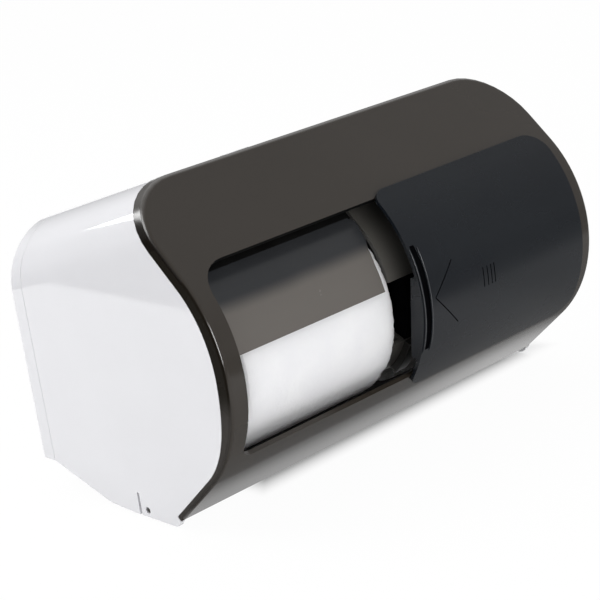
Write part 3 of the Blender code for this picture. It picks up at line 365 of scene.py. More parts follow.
@dataclass(frozen=True)
class WoundPaper(Finish):
    """Soft tissue, with the edges of its layers showing as rings on the roll's ends.

    Attributes:
        layer: Distance between the rings.
        layer_height: How far the rings stand out.
        layer_waver: How far the rings are from true circles.
    """

    layer: float = 0.0011
    layer_height: float = 0.0002
    layer_waver: float = 1.5

    def _relief(self, wiring: Wiring) -> NodeSocket:
        """Makes the crepe of the paper and the rings of its layers.

        Args:
            wiring: The material's nodes.

        Returns:
            The normal's socket.
        """
        inputs = {"Vector": wiring.place, "Scale": RING_SCALE / self.layer, "Distortion": self.layer_waver,
                  "Detail": SOFT}
        rings = wiring.add("ShaderNodeTexWave", inputs, wave_type="RINGS", rings_direction="X")
        layers = wiring.bump(rings.outputs["Fac"], self.layer_height)
        return wiring.bump(wiring.noise(self.grain_size, CRISP), self.grain_height, layers)


@dataclass(frozen=True)
class BrushedMetal(Finish):
    """Plated steel with fine turning marks.

    Attributes:
        mark_length: Length of the marks.
    """

    mark_length: float = 0.004

    def _relief(self, wiring: Wiring) -> NodeSocket:
        """Makes marks that are much longer than they are wide.

        Args:
            wiring: The material's nodes.

        Returns:
            The normal's socket.
        """
        stretch = (self.grain_size / self.mark_length, 1.0, 1.0)
        place = wiring.add("ShaderNodeMapping", {"Vector": wiring.place, "Scale": stretch}).outputs["Vector"]
        return wiring.bump(wiring.noise(self.grain_size, SOFT, place), self.grain_height)


# Each finish: name, slot, darker and lighter colour, cloud size, gloss, grain size and height, constants.
WHITE = Finish(
    "white_gloss", "white_plastic", (0.727, 0.727, 0.752), (0.747, 0.747, 0.772),
    0.09, (0.03, 0.045), 0.03, 0.00003, ((Socket.IOR, 1.75),))
# The smoke cover, with painted shade on its sideways faces.
SMOKE = SideShadedPlastic(
    "smoke_gloss", "smoke_plastic", (0.0255, 0.021, 0.0165), (0.0285, 0.0235, 0.019),
    0.12, (0.14, 0.18), 0.02, 0.000008, ((Socket.IOR, 1.5),))
CHARCOAL = Finish(
    "charcoal_satin", "charcoal_plastic", (0.005, 0.0065, 0.0095), (0.0065, 0.0085, 0.0115),
    0.07, (0.24, 0.3), 0.002, 0.000004, ((Socket.IOR, 1.375),))
# A darker, duller copy of the charcoal plastic, as painted shade on the door's sliders, the guard necks and the
# window's top wall.
SHADE_RUNNER = Finish(
    "runner_black", "charcoal_plastic", (0.003, 0.003, 0.003), (0.005, 0.005, 0.0048),
    0.03, (0.5, 0.6), 0.001, 0.000006, ((Socket.SPECULAR, 0.12),))
# The roll guards, painted paler below as painted light for the lit paper behind them.
GUARD = HeightLitPlastic(
    "guard_gloss", "guard_plastic", (0.024, 0.0255, 0.028), (0.0275, 0.029, 0.0315),
    0.06, (0.22, 0.28), 0.003, 0.000003, ((Socket.IOR, 1.38),))
# The cover rim's sideways faces, with little gloss: dark painted shade above and a paler painted reflection of the
# floor lower down.
PAINTED_RIM = HeightLitPlastic(
    "rim_smoke", "smoke_plastic", (0.009, 0.0072, 0.005), (0.011, 0.009, 0.0065),
    0.05, (0.24, 0.3), 0.01, 0.000004, ((Socket.SPECULAR, 0.03),),
    lit_low_colour=(0.044, 0.04, 0.037), low_height=-0.015, high_height=0.003)
DARK = Finish(
    "dark_satin", "dark_plastic", (0.016, 0.0155, 0.013), (0.021, 0.02, 0.017),
    0.05, (0.38, 0.46), 0.0012, 0.000008, ((Socket.IOR, 1.48),))
# A lighter copy of the dark plastic, as painted light on the partition, which lies in shade.
LIT_PARTITION = Finish(
    "partition_satin", "dark_plastic", (0.069, 0.066, 0.06), (0.081, 0.077, 0.07),
    0.05, (0.38, 0.46), 0.0012, 0.000008, ((Socket.IOR, 1.45),))
PALE = Finish(
    "pale_satin", "arm_plastic", (0.62, 0.62, 0.64), (0.67, 0.67, 0.69),
    0.05, (0.4, 0.5), 0.0012, 0.00001)
# Black painted shade: in the door's arrow and grip lines, in the grip's groove, and across the partition's notch.
SHADOW_MARK = Finish(
    "mark_shadow", "charcoal_plastic", (0.0015, 0.0015, 0.002), (0.0025, 0.0025, 0.003),
    0.02, (0.6, 0.7), 0.001, 0.000005, ((Socket.SPECULAR, 0.0),))
# Painted highlights on the grip's two raised edges.
GRIP_HIGHLIGHT = Finish(
    "grip_edge_wear", "charcoal_plastic", (0.05, 0.053, 0.058), (0.075, 0.078, 0.084),
    0.01, (0.2, 0.28), 0.002, 0.000004, ((Socket.IOR, 1.48),))
PAPER = WoundPaper(
    "tissue", "paper", (0.745, 0.745, 0.764), (0.775, 0.775, 0.787),
    0.02, (0.9, 0.97), 0.0007, 0.00012,
    ((Socket.SHEEN, 0.15), (Socket.SHEEN_ROUGHNESS, 0.6), (Socket.SUBSURFACE, 0.9),
    (Socket.SUBSURFACE_SCALE, 0.016), (Socket.SUBSURFACE_RADIUS, (1.0, 1.0, 1.0))))
CARD = Finish(
    "core_card", "card", (0.42, 0.34, 0.25), (0.5, 0.42, 0.32),
    0.008, (0.85, 0.95), 0.0006, 0.00008)
STEEL = BrushedMetal(
    "plated_steel", "steel", (0.52, 0.52, 0.54), (0.6, 0.6, 0.62),
    0.01, (0.22, 0.34), 0.0002, 0.000006, ((Socket.METALLIC, 1.0),))


def put(name: str, data: ID) -> Object:
    """Puts a new object in the scene.

    Args:
        name: Its name.
        data: Its mesh, lamp or camera.

    Returns:
        The object.
    """
    piece = bpy.data.objects.new(name, data)
    bpy.context.scene.collection.objects.link(piece)
    return piece


def shade_smoothly(mesh: Mesh) -> None:
    """Lets a mesh's faces shade into each other."""
    for polygon in mesh.polygons:
        polygon.use_smooth = True


def modify(piece: Object, name: str, kind: str, **settings: float | bool | str) -> None:
    """Adds a modifier of the given name, kind and settings to a piece."""
    configure(piece.modifiers.new(name, kind), settings)


def round_edges(piece: Object, rounding: float, segments: int = 3) -> None:
    """Rounds a piece's sharp edges and evens its shading.

    Args:
        piece: The piece.
        rounding: How wide a rounded edge is.
        segments: How many steps it has.
    """
    modify(piece, "rounding", "BEVEL", width=rounding, segments=segments, limit_method="ANGLE",
           angle_limit=SHARP_TURN, miter_outer="MITER_ARC")
    modify(piece, "even_shading", "WEIGHTED_NORMAL", weight=FACE_WEIGHT, keep_sharp=False)


def loft(made: BMesh, rings: list[list[BMVert]], closed: bool = False) -> None:
    """Joins rings of points into a closed solid.

    Args:
        made: The mesh in work.
        rings: Rings with as many points each.
        closed: Whether the last ring joins the first; otherwise the ends are capped.
    """
    pairs = list(pairwise(rings))
    if closed:
        pairs.append((rings[-1], rings[0]))
    for low, high in pairs:
        for index, vertex in enumerate(low):
            after = (index + 1) % len(low)
            made.faces.new((vertex, low[after], high[after], high[index]))
    if not closed:
        made.faces.new(rings[0])
        made.faces.new(rings[-1])


def to_mesh(name: str, made: BMesh) -> Mesh:
    """Turns a mesh in work into a finished one.

    Args:
        name: The mesh's name.
        made: The mesh in work, which is freed.

    Returns:
        The mesh, with its faces turned outwards.
    """
    bmesh.ops.recalc_face_normals(made, faces=made.faces)
    mesh = bpy.data.meshes.new(name)
    made.to_mesh(mesh)
    made.free()
    return mesh


class Workshop:
    """Holds the frame and the materials that have been made, and dresses pieces with them."""

    def __init__(self) -> None:
        """Loads the frame."""
        self.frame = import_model()
        self.cad_box = [list(corner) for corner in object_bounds()]
        self.made: dict[str, Material] = {}

    def material(self, finish: Finish) -> Material:
        """The finish's material, made on first use."""
        self.made[finish.name] = self.made.get(finish.name) or finish.make()
        return self.made[finish.name]

    def dress(self, name: str, finish: Finish, rounding: float, segments: int = 3) -> None:
        """Gives a frame node its finish and rounded edges.

        Args:
            name: The node's name.
            finish: Its finish.
            rounding: Width of the rounding on its edges.
            segments: Steps across the rounding.
        """
        piece = self.frame["nodes"][name]
        piece.data.materials.clear()
        piece.data.materials.append(self.material(finish))
        shade_smoothly(piece.data)
        modify(piece, "weld", "WELD", merge_threshold=WELD_REACH)
        modify(piece, "flatten", "DECIMATE", decimate_type="DISSOLVE", angle_limit=FLAT_TURN)
        round_edges(piece, rounding, segments)
        LOG.info("dressed %s with %s", name, finish.name)

    def add(self, name: str, made: BMesh, finish: Finish, body: str, place: Triple = (0.0, 0.0, 0.0)) -> Object:
        """Adds a piece of the scene's own.

        Args:
            name: The piece's name.
            made: Its mesh in work, round its own origin.
            finish: Its finish.
            body: The body it rides on.
            place: Where its origin goes.

        Returns:
            The new object.
        """
        mesh = to_mesh(name, made)
        mesh.materials.append(self.material(finish))
        shade_smoothly(mesh)
        piece = put(name, mesh)
        piece.location = place
        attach(piece, body)
        LOG.info("added %s on %s", name, body)
        return piece


@dataclass(frozen=True)
class CoverCurve:
    """The side curve of the cover: an upper slope, a round nose and a strip that turns back under.

    A station is the length along the curve from the nose's level point, and a depth is the distance inwards
    from the cover's outer surface.
    """

    nose_radius: float = 0.079
    nose_forward: float = 0.107
    nose_height: float = 0.0753
    upper_angle: float = math.radians(45.6)
    lower_angle: float = math.radians(49.0)
    wall_centre: float = 0.071

    def point(self, x: float, station: float, depth: float) -> Vector:
        """The place of a point on the curve.

        Args:
            x: Its x.
            station: Its station.
            depth: Its depth, negative outside the cover.

        Returns:
            The point in the frame.
        """
        angle = max(-self.lower_angle, min(self.upper_angle, station / self.nose_radius))
        run = station - angle * self.nose_radius
        radius = self.nose_radius - depth
        forward = self.nose_forward + radius * math.cos(angle) - run * math.sin(angle)
        height = self.nose_height + radius * math.sin(angle) + run * math.cos(angle)
        return Vector((x, -forward, height - self.wall_centre))

    def station(self, degrees: float) -> float:
        """The station of an angle on the nose."""
        return self.nose_radius * math.radians(degrees)

    def outward(self, station: float) -> Vector:
        """The direction that looks straight out of the cover at a station."""
        return (self.point(0.0, station, -MILLIMETRE) - self.point(0.0, station, 0.0)).normalized()

    def _from_nose(self, place: Vector) -> tuple[float, float, float]:
        """Measures how far forward of the nose's middle and above it a place is, and the nearest nose angle."""
        forward, up = -place.y - self.nose_forward, place.z + self.wall_centre - self.nose_height
        return forward, up, max(-self.lower_angle, min(self.upper_angle, math.atan2(up, forward)))

    def depth(self, place: Vector) -> float:
        """Measures how far a place lies inside the cover's outer surface.

        Args:
            place: The place.

        Returns:
            Its depth.
        """
        forward, up, angle = self._from_nose(place)
        if abs(angle) in (self.lower_angle, self.upper_angle):
            return self.nose_radius - forward * math.cos(angle) - up * math.sin(angle)
        return self.nose_radius - math.hypot(forward, up)

    def run_up(self, place: Vector) -> float:
        """The station of a place."""
        forward, up, angle = self._from_nose(place)
        return angle * self.nose_radius + up * math.cos(angle) - forward * math.sin(angle)

    def strip(self, sections: list[Section], made: BMesh | None = None) -> BMesh:
        """Makes a solid strip that follows the curve.

        Args:
            sections: Its sections, from one end to the other.
            made: The mesh in work that it joins, or None for a new one.

        Returns:
            The mesh in work.
        """
        made = bmesh.new() if made is None else made
        rings = []
        for station, (start, end), (outer, inner) in sections:
            corners = ((start, outer), (end, outer), (end, inner), (start, inner))
            rings.append([made.verts.new(self.point(x, station, depth)) for x, depth in corners])
        loft(made, rings)
        return made


@dataclass
class Shell:
    """The white back plate and housing, and the smoke cover with its roll guards.

    Turns say how far a face looks sideways, or outwards for a wall of the window, from 0 to 1. The guard's
    edge gives stations with the distance from the middle to its inner edge there.
    """

    shop: Workshop
    curve: CoverCurve
    housing_rounding: float = 0.0006
    plate_rounding: float = 0.0008
    cover_rounding: float = 0.0005
    rim_rounding: float = 0.0026
    rim_steps: int = 7
    rim_profile: float = 0.5
    rim_reach: float = 0.1412
    side_turn: float = 0.8
    wall_turn: float = 0.3
    surface_reach: float = 0.0001
    window_top: float = 0.068
    window_margin: float = 0.002
    guard_rounding: float = 0.0003
    guard_depth: float = 0.0132
    guard_thickness: float = 0.0016
    guard_outer: float = 0.132
    guard_corner: float = 0.007
    guard_low: float = 0.0116
    guard_top: float = 0.0688
    guard_steps: int = 48
    guard_edge: tuple[Span, ...] = ((0.0116, 0.0187), (0.02, 0.0192), (0.031, 0.0196), (0.042, 0.019),
                                    (0.053, 0.0166), (0.0688, 0.0146))
    corner_shares: tuple[float, ...] = (0.1, 0.05, 0.02, 0.0)
    neck_range: Span = (0.0165, 0.13)
    neck_top: float = 0.0859
    neck_steps: int = 6
    neck_overlap: float = 0.0006

    def build(self) -> None:
        """Dresses the shells, and makes the cover's rounded rim and the guards."""
        self.shop.dress("back_plate", WHITE, self.plate_rounding)
        self.shop.dress("housing", WHITE, self.housing_rounding)
        self._cover()
        for side in Side:
            self._guard(side)

    def _cover(self) -> None:
        """Replaces the cover with a copy whose outer edge is well rounded."""
        made = bmesh.new()
        made.from_mesh(self.shop.frame["nodes"]["front_cover"].data)
        bmesh.ops.remove_doubles(made, verts=made.verts, dist=WELD_REACH)
        bmesh.ops.dissolve_limit(made, angle_limit=FLAT_TURN, verts=made.verts, edges=made.edges)
        rim = [edge for edge in made.edges if self._on_rim(edge)]
        bmesh.ops.bevel(made, geom=rim, offset=self.rim_rounding, offset_type="OFFSET", segments=self.rim_steps,
                        profile=self.rim_profile, affect="EDGES", clamp_overlap=False, miter_outer="ARC")
        made.normal_update()
        for face in made.faces:
            face.material_index = self._part_of(face).value
        piece = self.shop.add("smoke_cover", made, SMOKE, "cover")
        # The rim's sideways faces and the window's top wall get finishes of painted shade, the rim's with a paler
        # painted reflection lower down.
        for finish in (PAINTED_RIM, SHADE_RUNNER):
            piece.data.materials.append(self.shop.material(finish))
        round_edges(piece, self.cover_rounding)
        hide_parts("front_cover")

    def _part_of(self, face: BMFace) -> CoverPart:
        """Tells which part of the cover a face belongs to.

        Args:
            face: The face.

        Returns:
            The part.
        """
        middle = face.calc_center_median()
        run = self.curve.run_up(middle)
        if abs(middle.x) > self.rim_reach:
            sideways = abs(face.normal.x) > self.side_turn
            return CoverPart.RIM_SIDE if run < self.window_top and sideways else CoverPart.SKIN
        upright = abs(face.normal.dot(self.curve.outward(run))) < self.wall_turn
        return CoverPart.WINDOW_WALL if abs(run - self.window_top) < MILLIMETRE and upright else CoverPart.SKIN

    def _on_rim(self, edge: BMEdge) -> bool:
        """Tells whether an edge of the cover is a sharp one on its outside, away from the window.

        Args:
            edge: The edge.

        Returns:
            True for an edge of the rim.
        """
        if len(edge.link_faces) != 2 or edge.calc_face_angle(0.0) < SHARP_TURN:
            return False
        outside = all(abs(self.curve.depth(vertex.co)) < self.surface_reach for vertex in edge.verts)
        middle = (edge.verts[0].co + edge.verts[1].co) / 2
        above = self.curve.run_up(middle) > self.window_top + self.window_margin
        return outside and (abs(middle.x) > self.rim_reach or above)

    def _guard(self, side: Side) -> None:
        """Makes one roll guard: a curved plate, and the neck that carries it, black as painted shade.

        Args:
            side: The end that it is at.
        """
        stations = even_steps(self.guard_low, self.guard_top, self.guard_steps)[:-1]
        stations += [self.guard_top - self.guard_corner * share for share in self.corner_shares]
        outline = []
        for station in sorted(stations):
            into = max(0.0, station - (self.guard_top - self.guard_corner))
            cut = self.guard_corner - math.sqrt(max(self.guard_corner ** 2 - into ** 2, 0.0))
            outline.append((station, self._guard_inner(station) + cut, self.guard_outer - cut))
        piece = self._sheet(f"{side.name.lower()}_guard_plate", side, outline, GUARD)
        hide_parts(f"{side.name.lower()}_roll_guard")
        neck = even_steps(self.guard_top - self.neck_overlap, self.neck_top, self.neck_steps)
        outline = [(station, *self.neck_range) for station in neck]
        # The neck gets the darker runner finish: painted shade above the guard.
        self._sheet(f"{side.name.lower()}_guard_neck", side, outline, SHADE_RUNNER)

    def _sheet(self, name: str, side: Side, outline: list[Triple], finish: Finish) -> Object:
        """Adds a piece of a guard.

        Args:
            name: Its name.
            side: The end that it is at.
            outline: Stations, each with the piece's nearest and furthest distance from the middle.
            finish: Its finish.

        Returns:
            The new object.
        """
        depths = (self.guard_depth, self.guard_depth + self.guard_thickness)
        sections = [(station, (side.value * near, side.value * far), depths) for station, near, far in outline]
        piece = self.shop.add(name, self.curve.strip(sections), finish, "cover")
        round_edges(piece, self.guard_rounding, FEW)
        return piece

    def _guard_inner(self, station: float) -> float:
        """The distance from the middle to the guard's inner edge, which runs gently between its given places."""
        (low, near), (high, far) = next(pair for pair in pairwise(self.guard_edge) if station <= pair[1][0])
        return near + (far - near) * ease((station - low) / (high - low))


@dataclass
class Door:
    """The sliding door, with painted shade on its sliders, its grip's groove and the marks that show which way it
    goes, and painted highlights on the grip's edges.

    Marks have their places as x and degrees on the nose. They stand a little out of the door and reach into it.
    """

    shop: Workshop
    curve: CoverCurve
    door_rounding: float = 0.0007
    slider_rounding: float = 0.0003
    surface_depth: float = -0.0026
    mark_width: float = 0.0006
    mark_proud: float = 0.00006
    mark_sink: float = 0.0003
    mark_steps: int = 10
    tip: Span = (0.0043, 0.6)
    upper_end: Span = (0.0228, 12.9)
    lower_end: Span = (0.023, -14.0)
    line_places: tuple[float, ...] = (0.0466, 0.0503, 0.0536, 0.0565)
    line_degrees: Span = (-3.9, 4.4)
    groove_x: Span = (-0.0053, -0.0009)
    groove_degrees: Span = (-21.5, 25.3)
    groove_steps: tuple[int, int] = (40, 1)
    groove_fullness: float = 0.5
    grip_squareness: int = 6
    rib_edges: Span = (-0.0062, 0.0)
    rib_proud: float = 0.0009
    edge_width: float = 0.0004
    edge_steps: tuple[int, int] = (36, 2)
    edge_fullness: float = 1.0

    def build(self) -> None:
        """Dresses the door and lays its marks."""
        self.shop.dress("door_panel", CHARCOAL, self.door_rounding)
        # The sliders get the darker runner finish: painted shade.
        for name in ("door_top_slider", "door_bottom_slider"):
            self.shop.dress(name, SHADE_RUNNER, self.slider_rounding)
        self._mark("arrow_upper_stroke", self.tip, self.upper_end)
        self._mark("arrow_lower_stroke", self.tip, self.lower_end)
        low, high = self.line_degrees
        for index, x in enumerate(self.line_places):
            self._mark(f"grip_line_{index + 1}", (x, low), (x, high))
        # The grip's groove is painted shade.
        low, high = self.groove_x
        self._grip_line("grip_groove", (low + high) / 2, high - low, self.groove_fullness, 0.0,
                        self.groove_steps, SHADOW_MARK)
        # The grip's two edges are painted highlights.
        for index, x in enumerate(self.rib_edges):
            self._grip_line(f"grip_edge_{index + 1}", x, self.edge_width, self.edge_fullness, self.rib_proud,
                            self.edge_steps, GRIP_HIGHLIGHT)

    def _grip_line(self, name: str, x: float, width: float, fullness: float, proud: float,
                   steps: tuple[int, int], finish: Finish) -> None:
        """Lays a line along the grip, of painted shade or painted highlight by its finish, which swells to its
        full size between its two ends.

        Args:
            name: The line's name.
            x: The x of its middle.
            width: Its full width.
            fullness: How fast it narrows towards its ends: less is slower.
            proud: How far the grip swells out of the door there.
            steps: How many steps the grip has, and how many of them are left out at each end.
            finish: The line's finish.
        """
        (low, high), (whole, spare) = self.groove_degrees, steps
        sections = []
        for share in (step / whole for step in range(spare, whole - spare + 1)):
            full = math.sqrt(max(1.0 - (2.0 * share - 1.0) ** self.grip_squareness, 0.0))
            crest, reach = self.surface_depth - proud * full, width / 2 * full ** fullness
            depths = (crest - self.mark_proud, crest + self.mark_sink)
            sections.append((self.curve.station(low + (high - low) * share), (x + reach, x - reach), depths))
        self.shop.add(name, self.curve.strip(sections), finish, "door")

    def _mark(self, name: str, start: Span, end: Span) -> None:
        """Lays a thin line of shadow on the door, straight or slanting.

        Args:
            name: The line's name.
            start: Its start, as x and degrees on the nose.
            end: Its end.
        """
        begin, finish = (Vector((x, self.curve.station(degrees))) for x, degrees in (start, end))
        along = (finish - begin).normalized()
        across = Vector((-along.y, along.x)) * (self.mark_width / 2)
        outer, inner = self.surface_depth - self.mark_proud, self.surface_depth + self.mark_sink
        corners = ((across, outer), (-across, outer), (-across, inner), (across, inner))
        made = bmesh.new()
        rings = []
        for share in even_steps(0.0, 1.0, self.mark_steps):
            centre = begin.lerp(finish, share)
            rings.append([made.verts.new(self.curve.point(*(centre + shift), depth)) for shift, depth in corners])
        loft(made, rings)
        self.shop.add(name, made, SHADOW_MARK, "door")


@dataclass
class Rolls:
    """The two paper rolls on their spindles.

    Shares say where the section has points: on the near end from the bore out, round its edge, along the
    outside, and on the far end. Rates are the noise's along or outwards and round the roll, and the side
    shifts set the two rolls apart in it.
    """

    shop: Workshop
    axis: Triple = (0.0, -0.109, -0.001)
    core_rounding: float = 0.0003
    spindle_rounding: float = 0.0004
    inner_end: float = 0.0115
    length: float = 0.1143
    radius: float = 0.061
    bore: float = 0.0223
    edge: float = 0.0012
    outer_edge: float = 0.0004
    near_shares: tuple[float, ...] = (0.25, 0.5, 0.75, 0.93)
    edge_shares: tuple[float, ...] = (0.0, 0.35, 0.7, 1.0)
    length_shares: tuple[float, ...] = (0.1, 0.2, 0.35, 0.5, 0.65, 0.8, 0.9)
    far_shares: tuple[float, ...] = (0.9, 0.6, 0.3, 0.0)
    steps: int = 260
    softness: float = 0.00025
    fray: float = 0.0013
    fray_levels: Span = (0.2, 0.6)
    face_fray: float = 0.2
    tear: Span = (3.78, 4.5)
    tear_depth: float = 0.0022
    tear_level: float = 0.5
    wave_rates: Span = (30.0, 4.0)
    torn_rates: Span = (900.0, 22.0)
    side_shifts: Span = (7.0, 3.0)

    def build(self) -> None:
        """Winds both rolls and dresses their cores and spindles."""
        for side in Side:
            name = side.name.lower()
            self.shop.dress(f"{name}_roll_core", CARD, self.core_rounding)
            self.shop.dress(f"{name}_spindle", DARK, self.spindle_rounding)
            self.shop.dress(f"{name}_spindle_cap", DARK, self.spindle_rounding)
            roll = self.shop.add(f"{name}_tissue", self._wind(side), PAPER, f"{name}_roll", self.axis)
            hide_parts(f"{name}_paper_roll")

    def _profile(self) -> list[Triple]:
        """Draws the roll's section, from the bore round the outside.

        Returns:
            Points as x, radius and how far they fray.
        """
        start, end, across = self.inner_end, self.inner_end + self.length, self.radius - self.bore
        points = [(start, self.bore, 0.0)]
        points += [(start, self.bore + across * share, self.face_fray) for share in self.near_shares]
        for angle in (math.pi / 2 * share for share in self.edge_shares):
            fall = self.edge * (1 - math.sin(angle))
            points.append((start + self.edge * (1 - math.cos(angle)), self.radius - fall, 1.0))
        points += [(start + self.length * share, self.radius, 0.0) for share in self.length_shares]
        points += [(end - self.outer_edge, self.radius, 0.0), (end, self.radius - self.outer_edge, 0.0)]
        return points + [(end, self.bore + across * share, 0.0) for share in self.far_shares]

    def _wind(self, side: Side) -> BMesh:
        """Makes one roll round its axis.

        Args:
            side: The end that the roll is at.

        Returns:
            The mesh in work.
        """
        made = bmesh.new()
        rings = []
        for angle in even_steps(0.0, 2 * math.pi, self.steps)[:-1]:
            spoke = Vector((0.0, math.cos(angle), math.sin(angle)))
            ring = []
            for x, radius, fray in self._profile():
                give = self.softness * (self._wave(x, spoke, side) - 1.0) if radius > self.bore else 0.0
                inwards = 1.0 if x < self.inner_end + self.length / 2 else -1.0
                place = x + inwards * fray * self._ragged(self._torn(radius, angle, side), angle)
                ring.append(made.verts.new(Vector((side.value * place, 0.0, 0.0)) + spoke * (radius + give)))
            rings.append(ring)
        loft(made, rings, closed=True)
        return made

    def _wave(self, x: float, spoke: Vector, side: Side) -> float:
        """The paper's slow waves, from -1 to 1, by the x and the direction from the axis."""
        (along, about), shift = self.wave_rates, side.value * self.side_shifts[0]
        return noise.noise(Vector((x * along, spoke.y * about + shift, spoke.z * about)))

    def _torn(self, radius: float, angle: float, side: Side) -> float:
        """The fray's noise, from -1 to 1, by the radius and the angle round the axis."""
        outwards, about = self.torn_rates
        return noise.noise(Vector((radius * outwards, angle * about, side.value * self.side_shifts[1])))

    def _ragged(self, torn: float, angle: float) -> float:
        """How deep the near end is frayed or torn at an angle, from the noise there."""
        deeper = self.tear_depth * (self.tear_level + torn) if self.tear[0] < angle < self.tear[1] else 0.0
        return self.fray * (self.fray_levels[0] + self.fray_levels[1] * torn) + deeper


@dataclass
class Chassis:
    """The partition, hinge arms and pins, catch and screws, and pieces of painted shade in the partition's notch.
    """

    shop: Workshop
    curve: CoverCurve
    partition_rounding: float = 0.0004
    arm_rounding: float = 0.0004
    catch_rounding: float = 0.0003
    pin_rounding: float = 0.0002
    screw_rounding: float = 0.0002
    # A black sheet of painted shade across the notch's far side.
    shade_sheet_x: Span = (0.0014, 0.0108)
    shade_sheet_depths: Span = (0.0172, 0.036)
    shade_sheet_wall: float = 0.0006
    shade_sheet_degrees: Span = (-27.0, 12.0)
    shade_steps: int = 12
    # A dark block of painted shade below the notch.
    shade_block_depth: float = 0.0125
    shade_block_degrees: Span = (-49.0, -27.0)
    shade_block_rounding: float = 0.0003

    def build(self) -> None:
        """Dresses the fixed pieces."""
        self.shop.dress("centre_partition", LIT_PARTITION, self.partition_rounding)
        self._notch_shade()
        self.shop.dress("lock_catch", PALE, self.catch_rounding)
        for side in Side:
            name = side.name.lower()
            self.shop.dress(f"{name}_hinge_arm", PALE, self.arm_rounding)
            self.shop.dress(f"{name}_hinge_pin", DARK, self.pin_rounding)
        for name in self.shop.frame["nodes"]:
            if name.endswith("_screw"):
                self.shop.dress(name, STEEL, self.screw_rounding, FEW)

    def _notch_shade(self) -> None:
        """Puts a black sheet of painted shade, a wall and a front, across the far side of the partition's finger
        notch, and a dark block of painted shade below it.
        """
        near, far = self.shade_sheet_x
        shallow, deep = self.shade_sheet_depths
        wall = self.shade_sheet_wall
        made = self.curve.strip(self._slab((near, near + wall), (shallow, deep), self.shade_sheet_degrees))
        front = self._slab((near + wall / 2, far), (shallow + wall / 4, shallow + wall), self.shade_sheet_degrees)
        self.shop.add("notch_lining", self.curve.strip(front, made), SHADOW_MARK, "chassis")
        shade_block = self.curve.strip(self._slab((near, far), (self.shade_block_depth, deep), self.shade_block_degrees))
        round_edges(self.shop.add("partition_foot", shade_block, DARK, "chassis"), self.shade_block_rounding, FEW)

    def _slab(self, sides: Span, depths: Span, degrees: Span) -> list[Section]:
        """Sections of a slab along the notch, from its two x values, its depths and its degrees on the nose."""
        return [(self.curve.station(turn), sides, depths) for turn in even_steps(*degrees, self.shade_steps)]


@dataclass
class Lock:
    """The lock in the housing's top."""

    shop: Workshop
    rounding: float = 0.00025

    def build(self) -> None:
        """Dresses the lock's pieces."""
        for name in ("lock_barrel", "lock_plug", "lock_ring_nut", "lock_cam", "lock_cam_nut"):
            self.shop.dress(name, STEEL, self.rounding, FEW)


@dataclass(frozen=True)
class Patch:
    """A rectangle on the floor with a soft edge.

    Attributes:
        centre: The x and y of its middle.
        reach: How far it goes from there each way, up to its soft edge.
        blur: Width of the soft edge.
        clear: The value outside it.
    """

    centre: Span
    reach: Span
    blur: float
    clear: float = 1.0

    def outside(self, wiring: Wiring, place: Node) -> NodeSocket:
        """Tells how clear of the patch a place is.

        Args:
            wiring: The floor material's nodes.
            place: The node that gives the place's x and y.

        Returns:
            A socket that is 0 in the patch and the clear value away from it.
        """
        sides = []
        for axis, centre, reach in zip("XY", self.centre, self.reach):
            away = wiring.combine("ABSOLUTE", wiring.combine("SUBTRACT", place.outputs[axis], centre))
            sides.append(wiring.spread(away, (reach, reach + self.blur), (0.0, self.clear)))
        return wiring.combine("MAXIMUM", *sides)


@dataclass(frozen=True)
class Lamp:
    """A rectangular soft lamp that faces the dispenser.

    Attributes:
        shows: Whether glossy surfaces show it.
        fills: Whether it lights matt surfaces.
    """

    name: str
    place: Triple
    width: float
    height: float
    power: float
    shows: bool = True
    fills: bool = True

    def hang(self) -> None:
        """Puts the lamp in its place."""
        lamp = bpy.data.lights.new(self.name, "AREA")
        lamp.shape = "RECTANGLE"
        lamp.size = self.width
        lamp.size_y = self.height
        lamp.energy = self.power
        holder = put(self.name, lamp)
        holder.location = self.place
        holder.rotation_euler = (-Vector(self.place)).to_track_quat("-Z", "Y").to_euler()
        holder.visible_glossy = self.shows
        holder.visible_diffuse = self.fills


